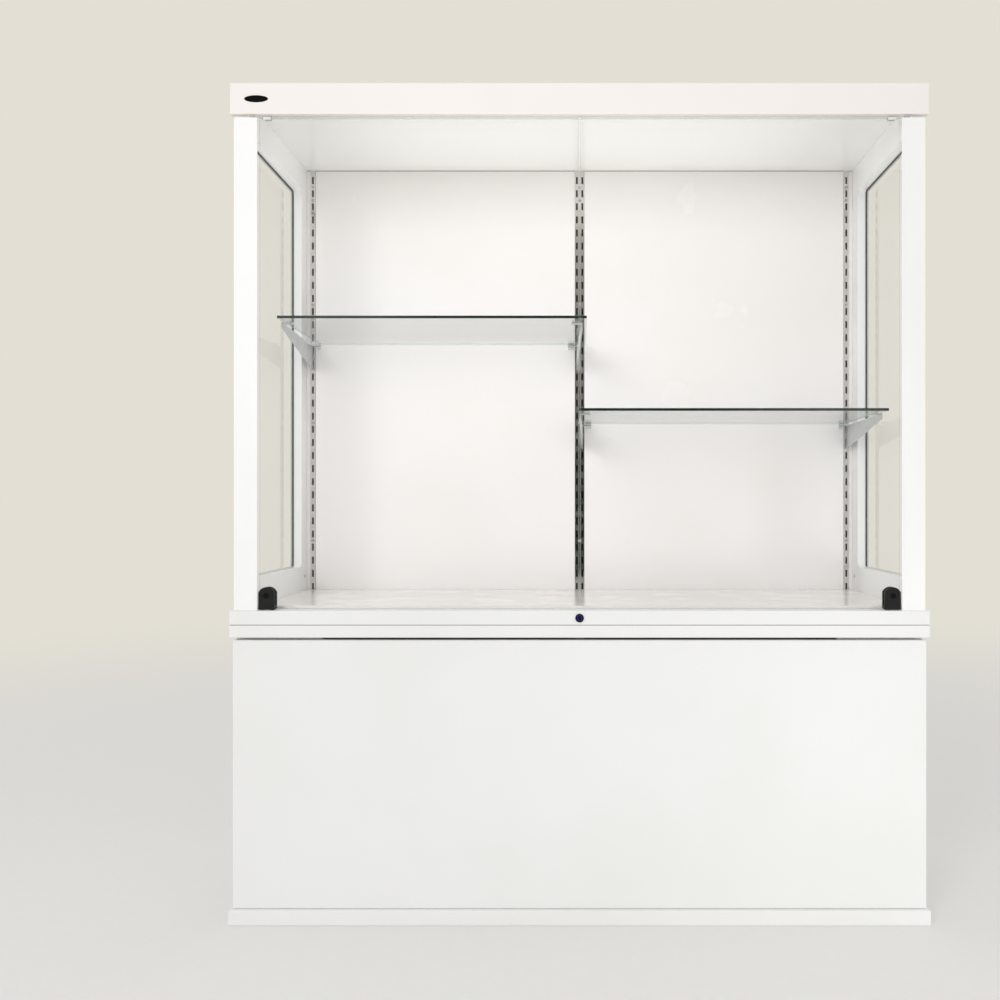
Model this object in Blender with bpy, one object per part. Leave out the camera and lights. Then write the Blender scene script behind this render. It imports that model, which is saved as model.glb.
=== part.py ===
"""Two-bay glass display case: a white base cabinet below a glazed case with slotted uprights.

Units are metres. The origin is on the floor at the middle of the plinth, the front faces -Y and Z is up.
"""

import math

import bmesh
import bpy
from mathutils import Matrix, Vector

# Overall size, and the gap left between pieces that rest against each other.
CASE_WIDTH = 1.500
CASE_DEPTH = 0.450
CASE_HEIGHT = 1.800
FIT_GAP = 0.0003
FACE_SETBACK = 0.003
EDGE_ROUND = 0.0012

# Base cabinet.
PLINTH_HEIGHT = 0.032
CABINET_SIDE_SETBACK = 0.006
PANEL_SETBACK = 0.010
BASE_HEIGHT = 0.641
CABINET_TOP_THICKNESS = 0.027
CARCASS_THICKNESS = 0.018
CABINET_BACK_THICKNESS = 0.006
PANEL_THICKNESS = 0.018
PANEL_TOP_GAP = 0.006
PANEL_FOOT_GAP = 0.0005
PANEL_BACK_GAP = 0.0035
PANEL_SIDE_GAP = 0.0005
FINGER_SLOT_LENGTH = 1.114
BATTEN_HEIGHT = 0.040
BATTEN_THICKNESS = 0.018
CATCH_WIDTH = 0.046
CATCH_HEIGHT = 0.014
CATCH_DEPTH = 0.030
CATCH_INSET = 0.070
STRIKE_THICKNESS = 0.0015
STRIKE_MARGIN = 0.002

# Case floor and roof.
BASE_BOARD_THICKNESS = 0.031
DECK_RISE = 0.006
DECK_SETBACK = 0.045
HEADER_HEIGHT = 0.067
HEADER_INSET = 0.003
FASCIA_THICKNESS = 0.020
ROOF_THICKNESS = 0.034

# Side frames and their glass.
POST_INSET = 0.0115
SIDE_THICKNESS = 0.0295
POST_LIP_WIDTH = 0.020
POST_LIP_THICKNESS = 0.003
POST_DEPTH = 0.050
REVEAL_HEIGHT = 0.007
REVEAL_DEPTH = 0.010
TOP_RAIL_HEIGHT = 0.067
BOTTOM_RAIL_HEIGHT = 0.066
REAR_STILE_WIDTH = 0.062
SIDE_GLASS_THICKNESS = 0.003
SEAL_WIDTH = 0.0018
SEAL_DEPTH = 0.0084
SEAL_BITE = 0.001
SEAL_INSET = 0.001

# Back panel and slotted uprights.
BACK_PANEL_THICKNESS = 0.017
UPRIGHT_PAIR_WIDTH = 0.024
UPRIGHT_SINGLE_WIDTH = 0.013
UPRIGHT_DEPTH = 0.011
UPRIGHT_PROUD = 0.001
UPRIGHT_WALL = 0.0015
UPRIGHT_INSET = 0.0163
SLOT_COLUMN_OFFSET = 0.007
SLOT_PITCH = 0.034
SLOT_HEIGHT = 0.018
SLOT_WIDTH = 0.0045
FIRST_SLOT_DROP = 0.026

# Glass shelves, brackets and pads.
SHELF_END_GAP = 0.0011
SHELF_DEPTH = 0.350
SHELF_THICKNESS = 0.006
SHELF_BACK_GAP = 0.015
LEFT_SHELF_SHIFT = 0.024
RIGHT_SHELF_SHIFT = -0.009
LEFT_SHELF_SLOT = 13
RIGHT_SHELF_SLOT = 19
BRACKET_LENGTH = 0.335
BRACKET_REAR_HEIGHT = 0.060
BRACKET_TIP_HEIGHT = 0.013
BRACKET_THICKNESS = 0.002
BRACKET_TOP_OVER_SLOT = 0.009
HOOK_HEIGHT = 0.012
HOOK_THICKNESS = 0.0025
HOOK_DROP = 0.004
HOOK_PLAY = 0.0004
TAB_LENGTH = 0.023
TAB_WIDTH = 0.018
TAB_THICKNESS = 0.002
TAB_TIP_GAP = 0.004
PAD_THICKNESS = 0.002
PAD_MARGIN = 0.001
PAD_START = 0.007
STOP_THICKNESS = 0.002
STOP_DROP = 0.009
# Sideways lean of each bracket in its loose slots, per metre of length.
LEFT_OUTER_LEAN = 0.080
LEFT_INNER_LEAN = 0.040
RIGHT_OUTER_LEAN = -0.049
RIGHT_INNER_LEAN = -0.021

# Glass doors and their pivots.
DOOR_GLASS_THICKNESS = 0.005
DOOR_DEPTH = 0.014
DOOR_EDGE_GAP = 0.001
DOOR_MEETING_GAP = 0.003
DOOR_HEAD_GAP = 0.004
PIVOT_INSET = 0.01725
BLOCK_WIDTH = 0.0345
BLOCK_HEIGHT = 0.048
BLOCK_DEPTH = 0.022
BLOCK_ARC_RISE = 0.0115
BLOCK_SOLE = 0.006
BLOCK_ROUND = 0.0015
PIN_RADIUS = 0.003
PIN_RISE = 0.004
PIN_PLAY = 0.0004
SPIGOT_LENGTH = 0.012
WASHER_RADIUS = 0.008
WASHER_THICKNESS = 0.0012
CLIP_WIDTH = 0.016
CLIP_DEPTH = 0.010
CLIP_HEIGHT = 0.004
CLIP_CAP = 0.002
TOP_PIN_RADIUS = 0.002
TOP_PIN_RISE = 0.010

# Cam lock in the front edge of the case floor.
LOCK_DROP = 0.0155
LOCK_BEZEL_RADIUS = 0.0092
LOCK_BEZEL_THICKNESS = 0.002
LOCK_BARREL_RADIUS = 0.008
LOCK_BARREL_LENGTH = 0.0072
LOCK_PLUG_RADIUS = 0.005
LOCK_CAM_LENGTH = 0.036
LOCK_CAM_WIDTH = 0.010
LOCK_CAM_THICKNESS = 0.002
LOCK_POCKET_PLAY = 0.0015
KEYWAY_HEIGHT = 0.006
KEYWAY_WIDTH = 0.0014
KEYWAY_DEPTH = 0.003

# Levels and planes that follow from the sizes above.
FRONT = -CASE_DEPTH / 2
BACK = CASE_DEPTH / 2
FACE = FRONT + FACE_SETBACK
HALF_WIDTH = CASE_WIDTH / 2

CABINET_X = HALF_WIDTH - CABINET_SIDE_SETBACK
PANEL_Y0 = FRONT + PANEL_SETBACK
PANEL_Y1 = PANEL_Y0 + PANEL_THICKNESS
CARCASS_Y0 = PANEL_Y1 + PANEL_BACK_GAP
CABINET_Z0 = PLINTH_HEIGHT + FIT_GAP
CABINET_Z1 = BASE_HEIGHT - CABINET_TOP_THICKNESS

CASE_Z0 = BASE_HEIGHT + FIT_GAP
CASE_FLOOR = BASE_HEIGHT + BASE_BOARD_THICKNESS
FRAME_Z0 = CASE_FLOOR + FIT_GAP
DECK_TOP = CASE_FLOOR + DECK_RISE
HEADER_Z0 = CASE_HEIGHT - HEADER_HEIGHT
CEILING = CASE_HEIGHT - ROOF_THICKNESS
FRAME_Z1 = CEILING - FIT_GAP

SIDE_X1 = HALF_WIDTH - POST_INSET
SIDE_X0 = SIDE_X1 - SIDE_THICKNESS
LIP_X = SIDE_X0 - POST_LIP_WIDTH
HEADER_X = HALF_WIDTH - HEADER_INSET
POST_Y1 = FACE + POST_DEPTH
STILE_Y0 = BACK - REAR_STILE_WIDTH
WINDOW_Z0 = FRAME_Z0 + BOTTOM_RAIL_HEIGHT
WINDOW_Z1 = FRAME_Z1 - TOP_RAIL_HEIGHT
BACK_FACE = BACK - BACK_PANEL_THICKNESS

UPRIGHT_FACE = BACK_FACE - UPRIGHT_PROUD
UPRIGHT_SIDE_X = SIDE_X0 - UPRIGHT_INSET
UPRIGHT_Z0 = DECK_TOP + FIT_GAP
SLOT_COUNT = 1 + int((CEILING - FIRST_SLOT_DROP - UPRIGHT_Z0) / SLOT_PITCH)
SHELF_LENGTH = UPRIGHT_SIDE_X - SLOT_COLUMN_OFFSET - 2 * SHELF_END_GAP
SHELF_Y1 = BACK_FACE - SHELF_BACK_GAP
SHELF_Y0 = SHELF_Y1 - SHELF_DEPTH

DOOR_Y = FACE + DOOR_DEPTH
DOOR_X1 = LIP_X - DOOR_EDGE_GAP
PIVOT_X = DOOR_X1 - PIVOT_INSET
BLOCK_Z0 = CASE_FLOOR + WASHER_THICKNESS + 2 * FIT_GAP
DOOR_Z0 = BLOCK_Z0 + BLOCK_SOLE + FIT_GAP
DOOR_Z1 = HEADER_Z0 - DOOR_HEAD_GAP

LOCK_Z = CASE_FLOOR - LOCK_DROP
LOCK_CAM_Y0 = FACE + LOCK_BARREL_LENGTH + LOCK_POCKET_PLAY
LOCK_CAM_Y1 = LOCK_CAM_Y0 + LOCK_CAM_THICKNESS

SIDES = (("left", -1.0), ("right", 1.0))


def clear_scene():
    """Remove every object of the startup scene."""
    for old in list(bpy.data.objects):
        bpy.data.objects.remove(old, do_unlink=True)


def material(name, colour, roughness, metallic=0.0, alpha=1.0):
    """Return a new Principled material with the given plain values."""
    made = bpy.data.materials.new(name)
    made.use_nodes = True
    shader = made.node_tree.nodes["Principled BSDF"]
    shader.inputs["Base Color"].default_value = (*colour, 1.0)
    shader.inputs["Roughness"].default_value = roughness
    shader.inputs["Metallic"].default_value = metallic
    shader.inputs["Alpha"].default_value = alpha
    return made


FINISHES = {
    "board": ((0.86, 0.86, 0.85), 0.35, 0.0, 1.0),
    "paint": ((0.90, 0.90, 0.90), 0.30, 0.0, 1.0),
    "gloss": ((0.88, 0.88, 0.87), 0.12, 0.0, 1.0),
    "glass": ((0.80, 0.90, 0.86), 0.03, 0.0, 0.35),
    "chrome": ((0.72, 0.72, 0.72), 0.15, 1.0, 1.0),
    "zinc": ((0.60, 0.61, 0.62), 0.35, 1.0, 1.0),
    "black": ((0.02, 0.02, 0.02), 0.45, 0.0, 1.0),
    "rubber": ((0.03, 0.03, 0.03), 0.70, 0.0, 1.0),
    "pad": ((0.80, 0.84, 0.84), 0.25, 0.0, 0.6),
    "nylon": ((0.80, 0.80, 0.79), 0.45, 0.0, 1.0),
}


def add_object(name, shape, finish, origin=(0.0, 0.0, 0.0)):
    """Turn a bmesh built in case coordinates into an object whose origin lies at the given point."""
    bmesh.ops.translate(shape, verts=shape.verts, vec=-Vector(origin))
    bmesh.ops.recalc_face_normals(shape, faces=shape.faces)
    mesh = bpy.data.meshes.new(name)
    shape.to_mesh(mesh)
    shape.free()
    made = bpy.data.objects.new(name, mesh)
    made.location = origin
    bpy.context.scene.collection.objects.link(made)
    if finish is not None:
        mesh.materials.append(material(name + "_finish", *FINISHES[finish]))
    return made


def add_box(shape, x_span, y_span, z_span):
    """Add a box to a bmesh. The ends of each span may come in either order."""
    size = [abs(span[1] - span[0]) for span in (x_span, y_span, z_span)]
    middle = [(span[0] + span[1]) / 2 for span in (x_span, y_span, z_span)]
    place = Matrix.Translation(middle) @ Matrix.Diagonal((*size, 1.0))
    bmesh.ops.create_cube(shape, size=1.0, matrix=place)


def add_prism(shape, outline, direction):
    """Add a prism to a bmesh: a flat outline of 3-D points, extruded along a vector."""
    start = [shape.verts.new(point) for point in outline]
    face = shape.faces.new(start)
    moved = bmesh.ops.extrude_face_region(shape, geom=[face])["geom"]
    tips = [item for item in moved if isinstance(item, bmesh.types.BMVert)]
    bmesh.ops.translate(shape, verts=tips, vec=Vector(direction))


def add_cylinder(shape, radius, start, end, segments=24):
    """Add a closed cylinder to a bmesh, between two points."""
    start = Vector(start)
    axis = Vector(end) - start
    turn = axis.to_track_quat("Z", "Y").to_matrix().to_4x4()
    place = Matrix.Translation(start + axis / 2) @ turn
    bmesh.ops.create_cone(
        shape,
        cap_ends=True,
        segments=segments,
        radius1=radius,
        radius2=radius,
        depth=axis.length,
        matrix=place,
    )


def round_edges(made, width, segments=1):
    """Give an object a small bevel along its sharp edges."""
    bevel = made.modifiers.new("edges", "BEVEL")
    bevel.width = width
    bevel.segments = segments
    bevel.limit_method = "ANGLE"
    bevel.angle_limit = math.radians(60)


def combine(made, other_shape, operation, label):
    """Cut another bmesh out of an object, or join it on. The other shape stays as a hidden helper."""
    tool = add_object(made.name + "_" + label, other_shape, None, made.location)
    tool.hide_render = True
    tool.display_type = "WIRE"
    step = made.modifiers.new(label, "BOOLEAN")
    step.operation = operation
    step.solver = "EXACT"
    step.object = tool


def board(name, x_span, y_span, z_span, finish="board", rounded=True, origin=(0.0, 0.0, 0.0)):
    """Make a plain rectangular board, with slightly rounded edges unless told otherwise."""
    shape = bmesh.new()
    add_box(shape, x_span, y_span, z_span)
    made = add_object(name, shape, finish, origin)
    if rounded:
        round_edges(made, EDGE_ROUND)
    return made


def slot_level(index):
    """Return the height of the middle of a bracket slot, counted from the top one."""
    return CEILING - FIRST_SLOT_DROP - index * SLOT_PITCH


def build_cabinet():
    """Make the base cabinet: plinth, carcass, battens and the lift-off front panel with its catches."""
    edge_x = HALF_WIDTH
    board("plinth", (-edge_x, edge_x), (FRONT, BACK), (0.0, PLINTH_HEIGHT))
    board_x = HALF_WIDTH - FACE_SETBACK / 2
    board("cabinet_top", (-board_x, board_x), (FACE, BACK), (CABINET_Z1 + FIT_GAP, BASE_HEIGHT))
    inner_x = CABINET_X - CARCASS_THICKNESS
    back_y = BACK - CABINET_BACK_THICKNESS
    board(
        "cabinet_back",
        (-inner_x + FIT_GAP, inner_x - FIT_GAP),
        (back_y, BACK),
        (CABINET_Z0, CABINET_Z1),
        rounded=False,
    )
    board(
        "cabinet_partition",
        (-CARCASS_THICKNESS / 2, CARCASS_THICKNESS / 2),
        (CARCASS_Y0 + BATTEN_THICKNESS, back_y - FIT_GAP),
        (CABINET_Z0, CABINET_Z1),
        rounded=False,
    )
    board(
        "access_panel",
        (-CABINET_X + PANEL_SIDE_GAP, CABINET_X - PANEL_SIDE_GAP),
        (PANEL_Y0, PANEL_Y1),
        (PLINTH_HEIGHT + PANEL_FOOT_GAP, CABINET_Z1 - PANEL_TOP_GAP),
    )
    batten_z0 = CABINET_Z1 - BATTEN_HEIGHT
    catch_z1 = batten_z0 - FIT_GAP
    strike_y = PANEL_Y1 + FIT_GAP
    for side, sign in SIDES:
        board(
            "cabinet_side_" + side,
            (sign * inner_x, sign * CABINET_X),
            (CARCASS_Y0, BACK),
            (CABINET_Z0, CABINET_Z1),
        )
        board(
            "batten_" + side,
            (sign * FINGER_SLOT_LENGTH / 2, sign * (inner_x - FIT_GAP)),
            (CARCASS_Y0, CARCASS_Y0 + BATTEN_THICKNESS),
            (batten_z0, CABINET_Z1),
            rounded=False,
        )
        middle = sign * (inner_x - CATCH_INSET)
        board(
            "catch_" + side,
            (middle - CATCH_WIDTH / 2, middle + CATCH_WIDTH / 2),
            (strike_y + STRIKE_THICKNESS + FIT_GAP, strike_y + STRIKE_THICKNESS + CATCH_DEPTH),
            (catch_z1 - CATCH_HEIGHT, catch_z1),
            finish="black",
            rounded=False,
        )
        board(
            "strike_" + side,
            (middle - CATCH_WIDTH / 2 + STRIKE_MARGIN, middle + CATCH_WIDTH / 2 - STRIKE_MARGIN),
            (strike_y, strike_y + STRIKE_THICKNESS),
            (catch_z1 - CATCH_HEIGHT, catch_z1),
            finish="zinc",
            rounded=False,
        )


def build_floor_and_roof():
    """Make the case floor with its lock pocket and pivot holes, the deck, the roof and the header."""
    board_x = HALF_WIDTH - FACE_SETBACK / 2
    floor = board("base_board", (-board_x, board_x), (FACE, BACK), (CASE_Z0, CASE_FLOOR))
    holes = bmesh.new()
    for _, sign in SIDES:
        start = (sign * PIVOT_X, DOOR_Y, CASE_FLOOR - SPIGOT_LENGTH - PIN_PLAY)
        end = (sign * PIVOT_X, DOOR_Y, CASE_FLOOR + PIN_RISE)
        add_cylinder(holes, PIN_RADIUS + PIN_PLAY, start, end)
    combine(floor, holes, "DIFFERENCE", "pivot_holes")
    pocket = bmesh.new()
    reach = LOCK_CAM_LENGTH + LOCK_POCKET_PLAY
    low = LOCK_PLUG_RADIUS + 2 * LOCK_POCKET_PLAY
    add_box(
        pocket,
        (-low, reach),
        (LOCK_CAM_Y0 - LOCK_POCKET_PLAY / 2, LOCK_CAM_Y1 + FIT_GAP),
        (LOCK_Z - low, CASE_FLOOR + PIN_RISE),
    )
    combine(floor, pocket, "DIFFERENCE", "cam_pocket")
    bore = bmesh.new()
    bore_end = LOCK_CAM_Y0 + LOCK_CAM_THICKNESS / 2
    add_cylinder(bore, LOCK_BARREL_RADIUS + FIT_GAP, (0, FRONT, LOCK_Z), (0, bore_end, LOCK_Z))
    combine(floor, bore, "DIFFERENCE", "lock_bore")

    board(
        "deck",
        (-SIDE_X0 + FIT_GAP, SIDE_X0 - FIT_GAP),
        (FACE + DECK_SETBACK, UPRIGHT_FACE - FIT_GAP),
        (CASE_FLOOR + FIT_GAP, DECK_TOP),
        finish="gloss",
    )
    fascia_y1 = FACE + FASCIA_THICKNESS
    fascia = board("header_front", (-HEADER_X, HEADER_X), (FACE, fascia_y1), (HEADER_Z0, CASE_HEIGHT))
    sockets = bmesh.new()
    for _, sign in SIDES:
        start = (sign * PIVOT_X, DOOR_Y, HEADER_Z0 - PIN_RISE)
        end = (sign * PIVOT_X, DOOR_Y, DOOR_Z1 + CLIP_CAP + TOP_PIN_RISE + PIN_PLAY)
        add_cylinder(sockets, TOP_PIN_RADIUS + PIN_PLAY, start, end, 16)
    combine(fascia, sockets, "DIFFERENCE", "pivot_sockets")
    behind = fascia_y1 + FIT_GAP
    roof_x = SIDE_X1
    board("roof", (-roof_x, roof_x), (behind, BACK), (CEILING, CASE_HEIGHT), finish="gloss")
    for side, sign in SIDES:
        board(
            "header_" + side,
            (sign * (roof_x + FIT_GAP), sign * HEADER_X),
            (behind, BACK),
            (HEADER_Z0, CASE_HEIGHT),
        )


def header_notch(sign):
    """Return the cut at the top of a post: room for the header's front, with a shallow reveal below it."""
    x_out = sign * (SIDE_X1 + POST_DEPTH)
    x_in = sign * (LIP_X - POST_DEPTH)
    y_out = FRONT - POST_DEPTH
    y_reveal = FACE + REVEAL_DEPTH
    y_header = FACE + FASCIA_THICKNESS + FIT_GAP
    z_header = HEADER_Z0 - FIT_GAP
    z_reveal = z_header - REVEAL_HEIGHT
    outline = [
        (x_in, y_out, z_reveal),
        (x_in, y_reveal, z_reveal),
        (x_in, y_reveal, z_header),
        (x_in, y_header, z_header),
        (x_in, y_header, CASE_HEIGHT),
        (x_in, y_out, CASE_HEIGHT),
    ]
    notch = bmesh.new()
    add_prism(notch, outline, (x_out - x_in, 0, 0))
    return notch


def build_side_frames():
    """Make the posts, rails and stiles of both sides, with a rubber seal and a pane in each."""
    outer_lip = SEAL_DEPTH / 2 - SIDE_GLASS_THICKNESS / 2 - FIT_GAP
    for side, sign in SIDES:
        outline = [
            (sign * LIP_X, FACE, FRAME_Z0),
            (sign * SIDE_X1, FACE, FRAME_Z0),
            (sign * SIDE_X1, POST_Y1, FRAME_Z0),
            (sign * SIDE_X0, POST_Y1, FRAME_Z0),
            (sign * SIDE_X0, FACE + POST_LIP_THICKNESS, FRAME_Z0),
            (sign * LIP_X, FACE + POST_LIP_THICKNESS, FRAME_Z0),
        ]
        shape = bmesh.new()
        add_prism(shape, outline, (0, 0, FRAME_Z1 - FRAME_Z0))
        post = add_object("front_post_" + side, shape, "paint")
        combine(post, header_notch(sign), "DIFFERENCE", "header_notch")
        x_span = (sign * SIDE_X0, sign * SIDE_X1)
        rail_y = (POST_Y1 + FIT_GAP, STILE_Y0 - FIT_GAP)
        board("bottom_rail_" + side, x_span, rail_y, (FRAME_Z0, WINDOW_Z0), "paint", False)
        board("top_rail_" + side, x_span, rail_y, (WINDOW_Z1, FRAME_Z1), "paint", False)
        board("rear_stile_" + side, x_span, (STILE_Y0, BACK), (FRAME_Z0, FRAME_Z1), "paint", False)
        build_side_glass(side, sign, outer_lip)


def build_side_glass(side, sign, outer_lip):
    """Make one side pane and the U-section seal that lines its window."""
    seal_x1 = SIDE_X1 - SEAL_INSET
    seal_x0 = seal_x1 - SEAL_DEPTH
    groove = (seal_x0 + outer_lip, seal_x1 - outer_lip)
    window = (POST_Y1 + 2 * FIT_GAP, STILE_Y0 - FIT_GAP, WINDOW_Z0 + FIT_GAP, WINDOW_Z1 - FIT_GAP)
    base = SEAL_WIDTH - SEAL_BITE
    section = [
        (seal_x0, 0.0),
        (seal_x1, 0.0),
        (seal_x1, SEAL_WIDTH),
        (groove[1], SEAL_WIDTH),
        (groove[1], base),
        (groove[0], base),
        (groove[0], SEAL_WIDTH),
        (seal_x0, SEAL_WIDTH),
    ]
    shape = bmesh.new()
    rings = []
    for y_end, y_in, z_end, z_in in ((0, 1, 2, 1), (1, -1, 2, 1), (1, -1, 3, -1), (0, 1, 3, -1)):
        ring = []
        for x, inward in section:
            y = window[y_end] + y_in * inward
            z = window[z_end] + z_in * inward
            ring.append(shape.verts.new((sign * x, y, z)))
        rings.append(ring)
    for index, ring in enumerate(rings):
        following = rings[(index + 1) % len(rings)]
        for step in range(len(section)):
            after = (step + 1) % len(section)
            shape.faces.new((ring[step], ring[after], following[after], following[step]))
    add_object("side_seal_" + side, shape, "rubber")
    edge = base + FIT_GAP
    board(
        "side_glass_" + side,
        (sign * (groove[0] + FIT_GAP), sign * (groove[1] - FIT_GAP)),
        (window[0] + edge, window[1] - edge),
        (window[2] + edge, window[3] - edge),
        "glass",
        False,
    )


def build_upright(name, middle, width, columns):
    """Make one slotted steel channel, let into the back panel with its open side to the rear."""
    half = width / 2
    rear = UPRIGHT_FACE + UPRIGHT_DEPTH
    outline = [
        (middle - half, UPRIGHT_FACE, UPRIGHT_Z0),
        (middle + half, UPRIGHT_FACE, UPRIGHT_Z0),
        (middle + half, rear, UPRIGHT_Z0),
        (middle + half - UPRIGHT_WALL, rear, UPRIGHT_Z0),
        (middle + half - UPRIGHT_WALL, UPRIGHT_FACE + UPRIGHT_WALL, UPRIGHT_Z0),
        (middle - half + UPRIGHT_WALL, UPRIGHT_FACE + UPRIGHT_WALL, UPRIGHT_Z0),
        (middle - half + UPRIGHT_WALL, rear, UPRIGHT_Z0),
        (middle - half, rear, UPRIGHT_Z0),
    ]
    shape = bmesh.new()
    add_prism(shape, outline, (0, 0, FRAME_Z1 - UPRIGHT_Z0))
    made = add_object(name, shape, "chrome")
    slots = bmesh.new()
    for column in columns:
        for index in range(SLOT_COUNT):
            level = slot_level(index)
            add_box(
                slots,
                (column - SLOT_WIDTH / 2, column + SLOT_WIDTH / 2),
                (UPRIGHT_FACE - UPRIGHT_WALL, UPRIGHT_FACE + 2 * UPRIGHT_WALL),
                (level - SLOT_HEIGHT / 2, level + SLOT_HEIGHT / 2),
            )
    combine(made, slots, "DIFFERENCE", "slots")


def build_back():
    """Make the back panel with three grooves, and the three uprights that lie in them."""
    panel = board(
        "back_panel",
        (-SIDE_X0 + FIT_GAP, SIDE_X0 - FIT_GAP),
        (BACK_FACE, BACK),
        (FRAME_Z0, FRAME_Z1),
        finish="gloss",
        rounded=False,
    )
    uprights = (
        ("upright_left", -UPRIGHT_SIDE_X, UPRIGHT_SINGLE_WIDTH, (-UPRIGHT_SIDE_X,)),
        ("upright_centre", 0.0, UPRIGHT_PAIR_WIDTH, (-SLOT_COLUMN_OFFSET, SLOT_COLUMN_OFFSET)),
        ("upright_right", UPRIGHT_SIDE_X, UPRIGHT_SINGLE_WIDTH, (UPRIGHT_SIDE_X,)),
    )
    grooves = bmesh.new()
    for name, middle, width, columns in uprights:
        half = width / 2 + FIT_GAP
        add_box(
            grooves,
            (middle - half, middle + half),
            (UPRIGHT_FACE - UPRIGHT_WALL, UPRIGHT_FACE + UPRIGHT_DEPTH + FIT_GAP),
            (DECK_TOP, CASE_HEIGHT),
        )
        build_upright(name, middle, width, columns)
    combine(panel, grooves, "DIFFERENCE", "grooves")


def bracket_outline(top, slot_index):
    """Return the side outline of a bracket as (y, z) points, with a hook for each of two slots."""
    rear = UPRIGHT_FACE - FIT_GAP
    hook_y0 = UPRIGHT_FACE + UPRIGHT_WALL + HOOK_PLAY
    hook_y1 = hook_y0 + HOOK_THICKNESS
    points = [(rear, top)]
    for index in (slot_index, slot_index + 1):
        low = slot_level(index) - SLOT_HEIGHT / 2 + HOOK_PLAY
        high = low + HOOK_HEIGHT
        points += [(rear, high), (hook_y1, high), (hook_y1, low - HOOK_DROP)]
        points += [(hook_y0, low - HOOK_DROP), (hook_y0, low), (rear, low)]
    tip = rear - BRACKET_LENGTH
    points += [(rear, top - BRACKET_REAR_HEIGHT), (tip, top - BRACKET_TIP_HEIGHT), (tip, top)]
    return points


def lean_over(shape, lean):
    """Slide a bmesh sideways, in proportion to how far it stands out from the uprights."""
    for corner in shape.verts:
        corner.co.x += lean * (UPRIGHT_FACE - FIT_GAP - corner.co.y)


def build_bracket(name, column, inward, slot_index, lean):
    """Make one shelf bracket with two bent tabs, a clear pad on the front tab and a clear stop on the rear one."""
    top = slot_level(slot_index) + BRACKET_TOP_OVER_SLOT
    half = BRACKET_THICKNESS / 2
    shape = bmesh.new()
    outline = [(column - half, y, z) for y, z in bracket_outline(top, slot_index)]
    add_prism(shape, outline, (BRACKET_THICKNESS, 0, 0))
    lean_over(shape, lean)
    made = add_object("bracket_" + name, shape, "zinc")
    front_y = UPRIGHT_FACE - FIT_GAP - BRACKET_LENGTH + TAB_TIP_GAP
    rear_y = SHELF_Y1 - TAB_WIDTH
    end = column + inward * (half + TAB_LENGTH)
    for place, y in (("front", front_y), ("rear", rear_y)):
        tab = bmesh.new()
        add_box(tab, (column, end), (y, y + TAB_WIDTH), (top - TAB_THICKNESS, top))
        lean_over(tab, lean)
        combine(made, tab, "UNION", "tab_" + place)

    start = column + inward * (half + PAD_START)
    width = end - inward * PAD_MARGIN - start
    pad_z0 = top + FIT_GAP
    pad_z1 = pad_z0 + PAD_THICKNESS
    pad = bmesh.new()
    pad_y = (front_y + PAD_MARGIN, front_y + TAB_WIDTH - PAD_MARGIN)
    add_box(pad, (start, start + width), pad_y, (pad_z0, pad_z1))
    lean_over(pad, lean)
    add_object("pad_" + name + "_front", pad, "pad")
    stop_y0 = SHELF_Y1 + FIT_GAP
    stop_y1 = stop_y0 + STOP_THICKNESS
    stop_z1 = pad_z1 + FIT_GAP + SHELF_THICKNESS
    section = [
        (rear_y + PAD_MARGIN, pad_z0),
        (stop_y0, pad_z0),
        (stop_y0, top - STOP_DROP),
        (stop_y1, top - STOP_DROP),
        (stop_y1, stop_z1),
        (stop_y0, stop_z1),
        (stop_y0, pad_z1),
        (rear_y + PAD_MARGIN, pad_z1),
    ]
    stop = bmesh.new()
    add_prism(stop, [(start, y, z) for y, z in section], (width, 0, 0))
    lean_over(stop, lean)
    add_object("pad_" + name + "_rear", stop, "pad")


def build_shelves():
    """Make both glass shelves with their brackets, the left one hung higher than the right one."""
    middle = (UPRIGHT_SIDE_X + SLOT_COLUMN_OFFSET) / 2
    plans = (
        ("left", -1.0, LEFT_SHELF_SLOT, LEFT_SHELF_SHIFT, LEFT_OUTER_LEAN, LEFT_INNER_LEAN),
        ("right", 1.0, RIGHT_SHELF_SLOT, RIGHT_SHELF_SHIFT, RIGHT_OUTER_LEAN, RIGHT_INNER_LEAN),
    )
    for side, sign, slot_index, shift, outer_lean, inner_lean in plans:
        build_bracket(side + "_outer", sign * UPRIGHT_SIDE_X, -sign, slot_index, outer_lean)
        build_bracket(side + "_inner", sign * SLOT_COLUMN_OFFSET, sign, slot_index, inner_lean)
        rest = slot_level(slot_index) + BRACKET_TOP_OVER_SLOT + PAD_THICKNESS + 2 * FIT_GAP
        centre = sign * middle + shift
        board(
            "shelf_" + side,
            (centre - SHELF_LENGTH / 2, centre + SHELF_LENGTH / 2),
            (SHELF_Y0, SHELF_Y1),
            (rest, rest + SHELF_THICKNESS),
            "glass",
            False,
        )


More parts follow.
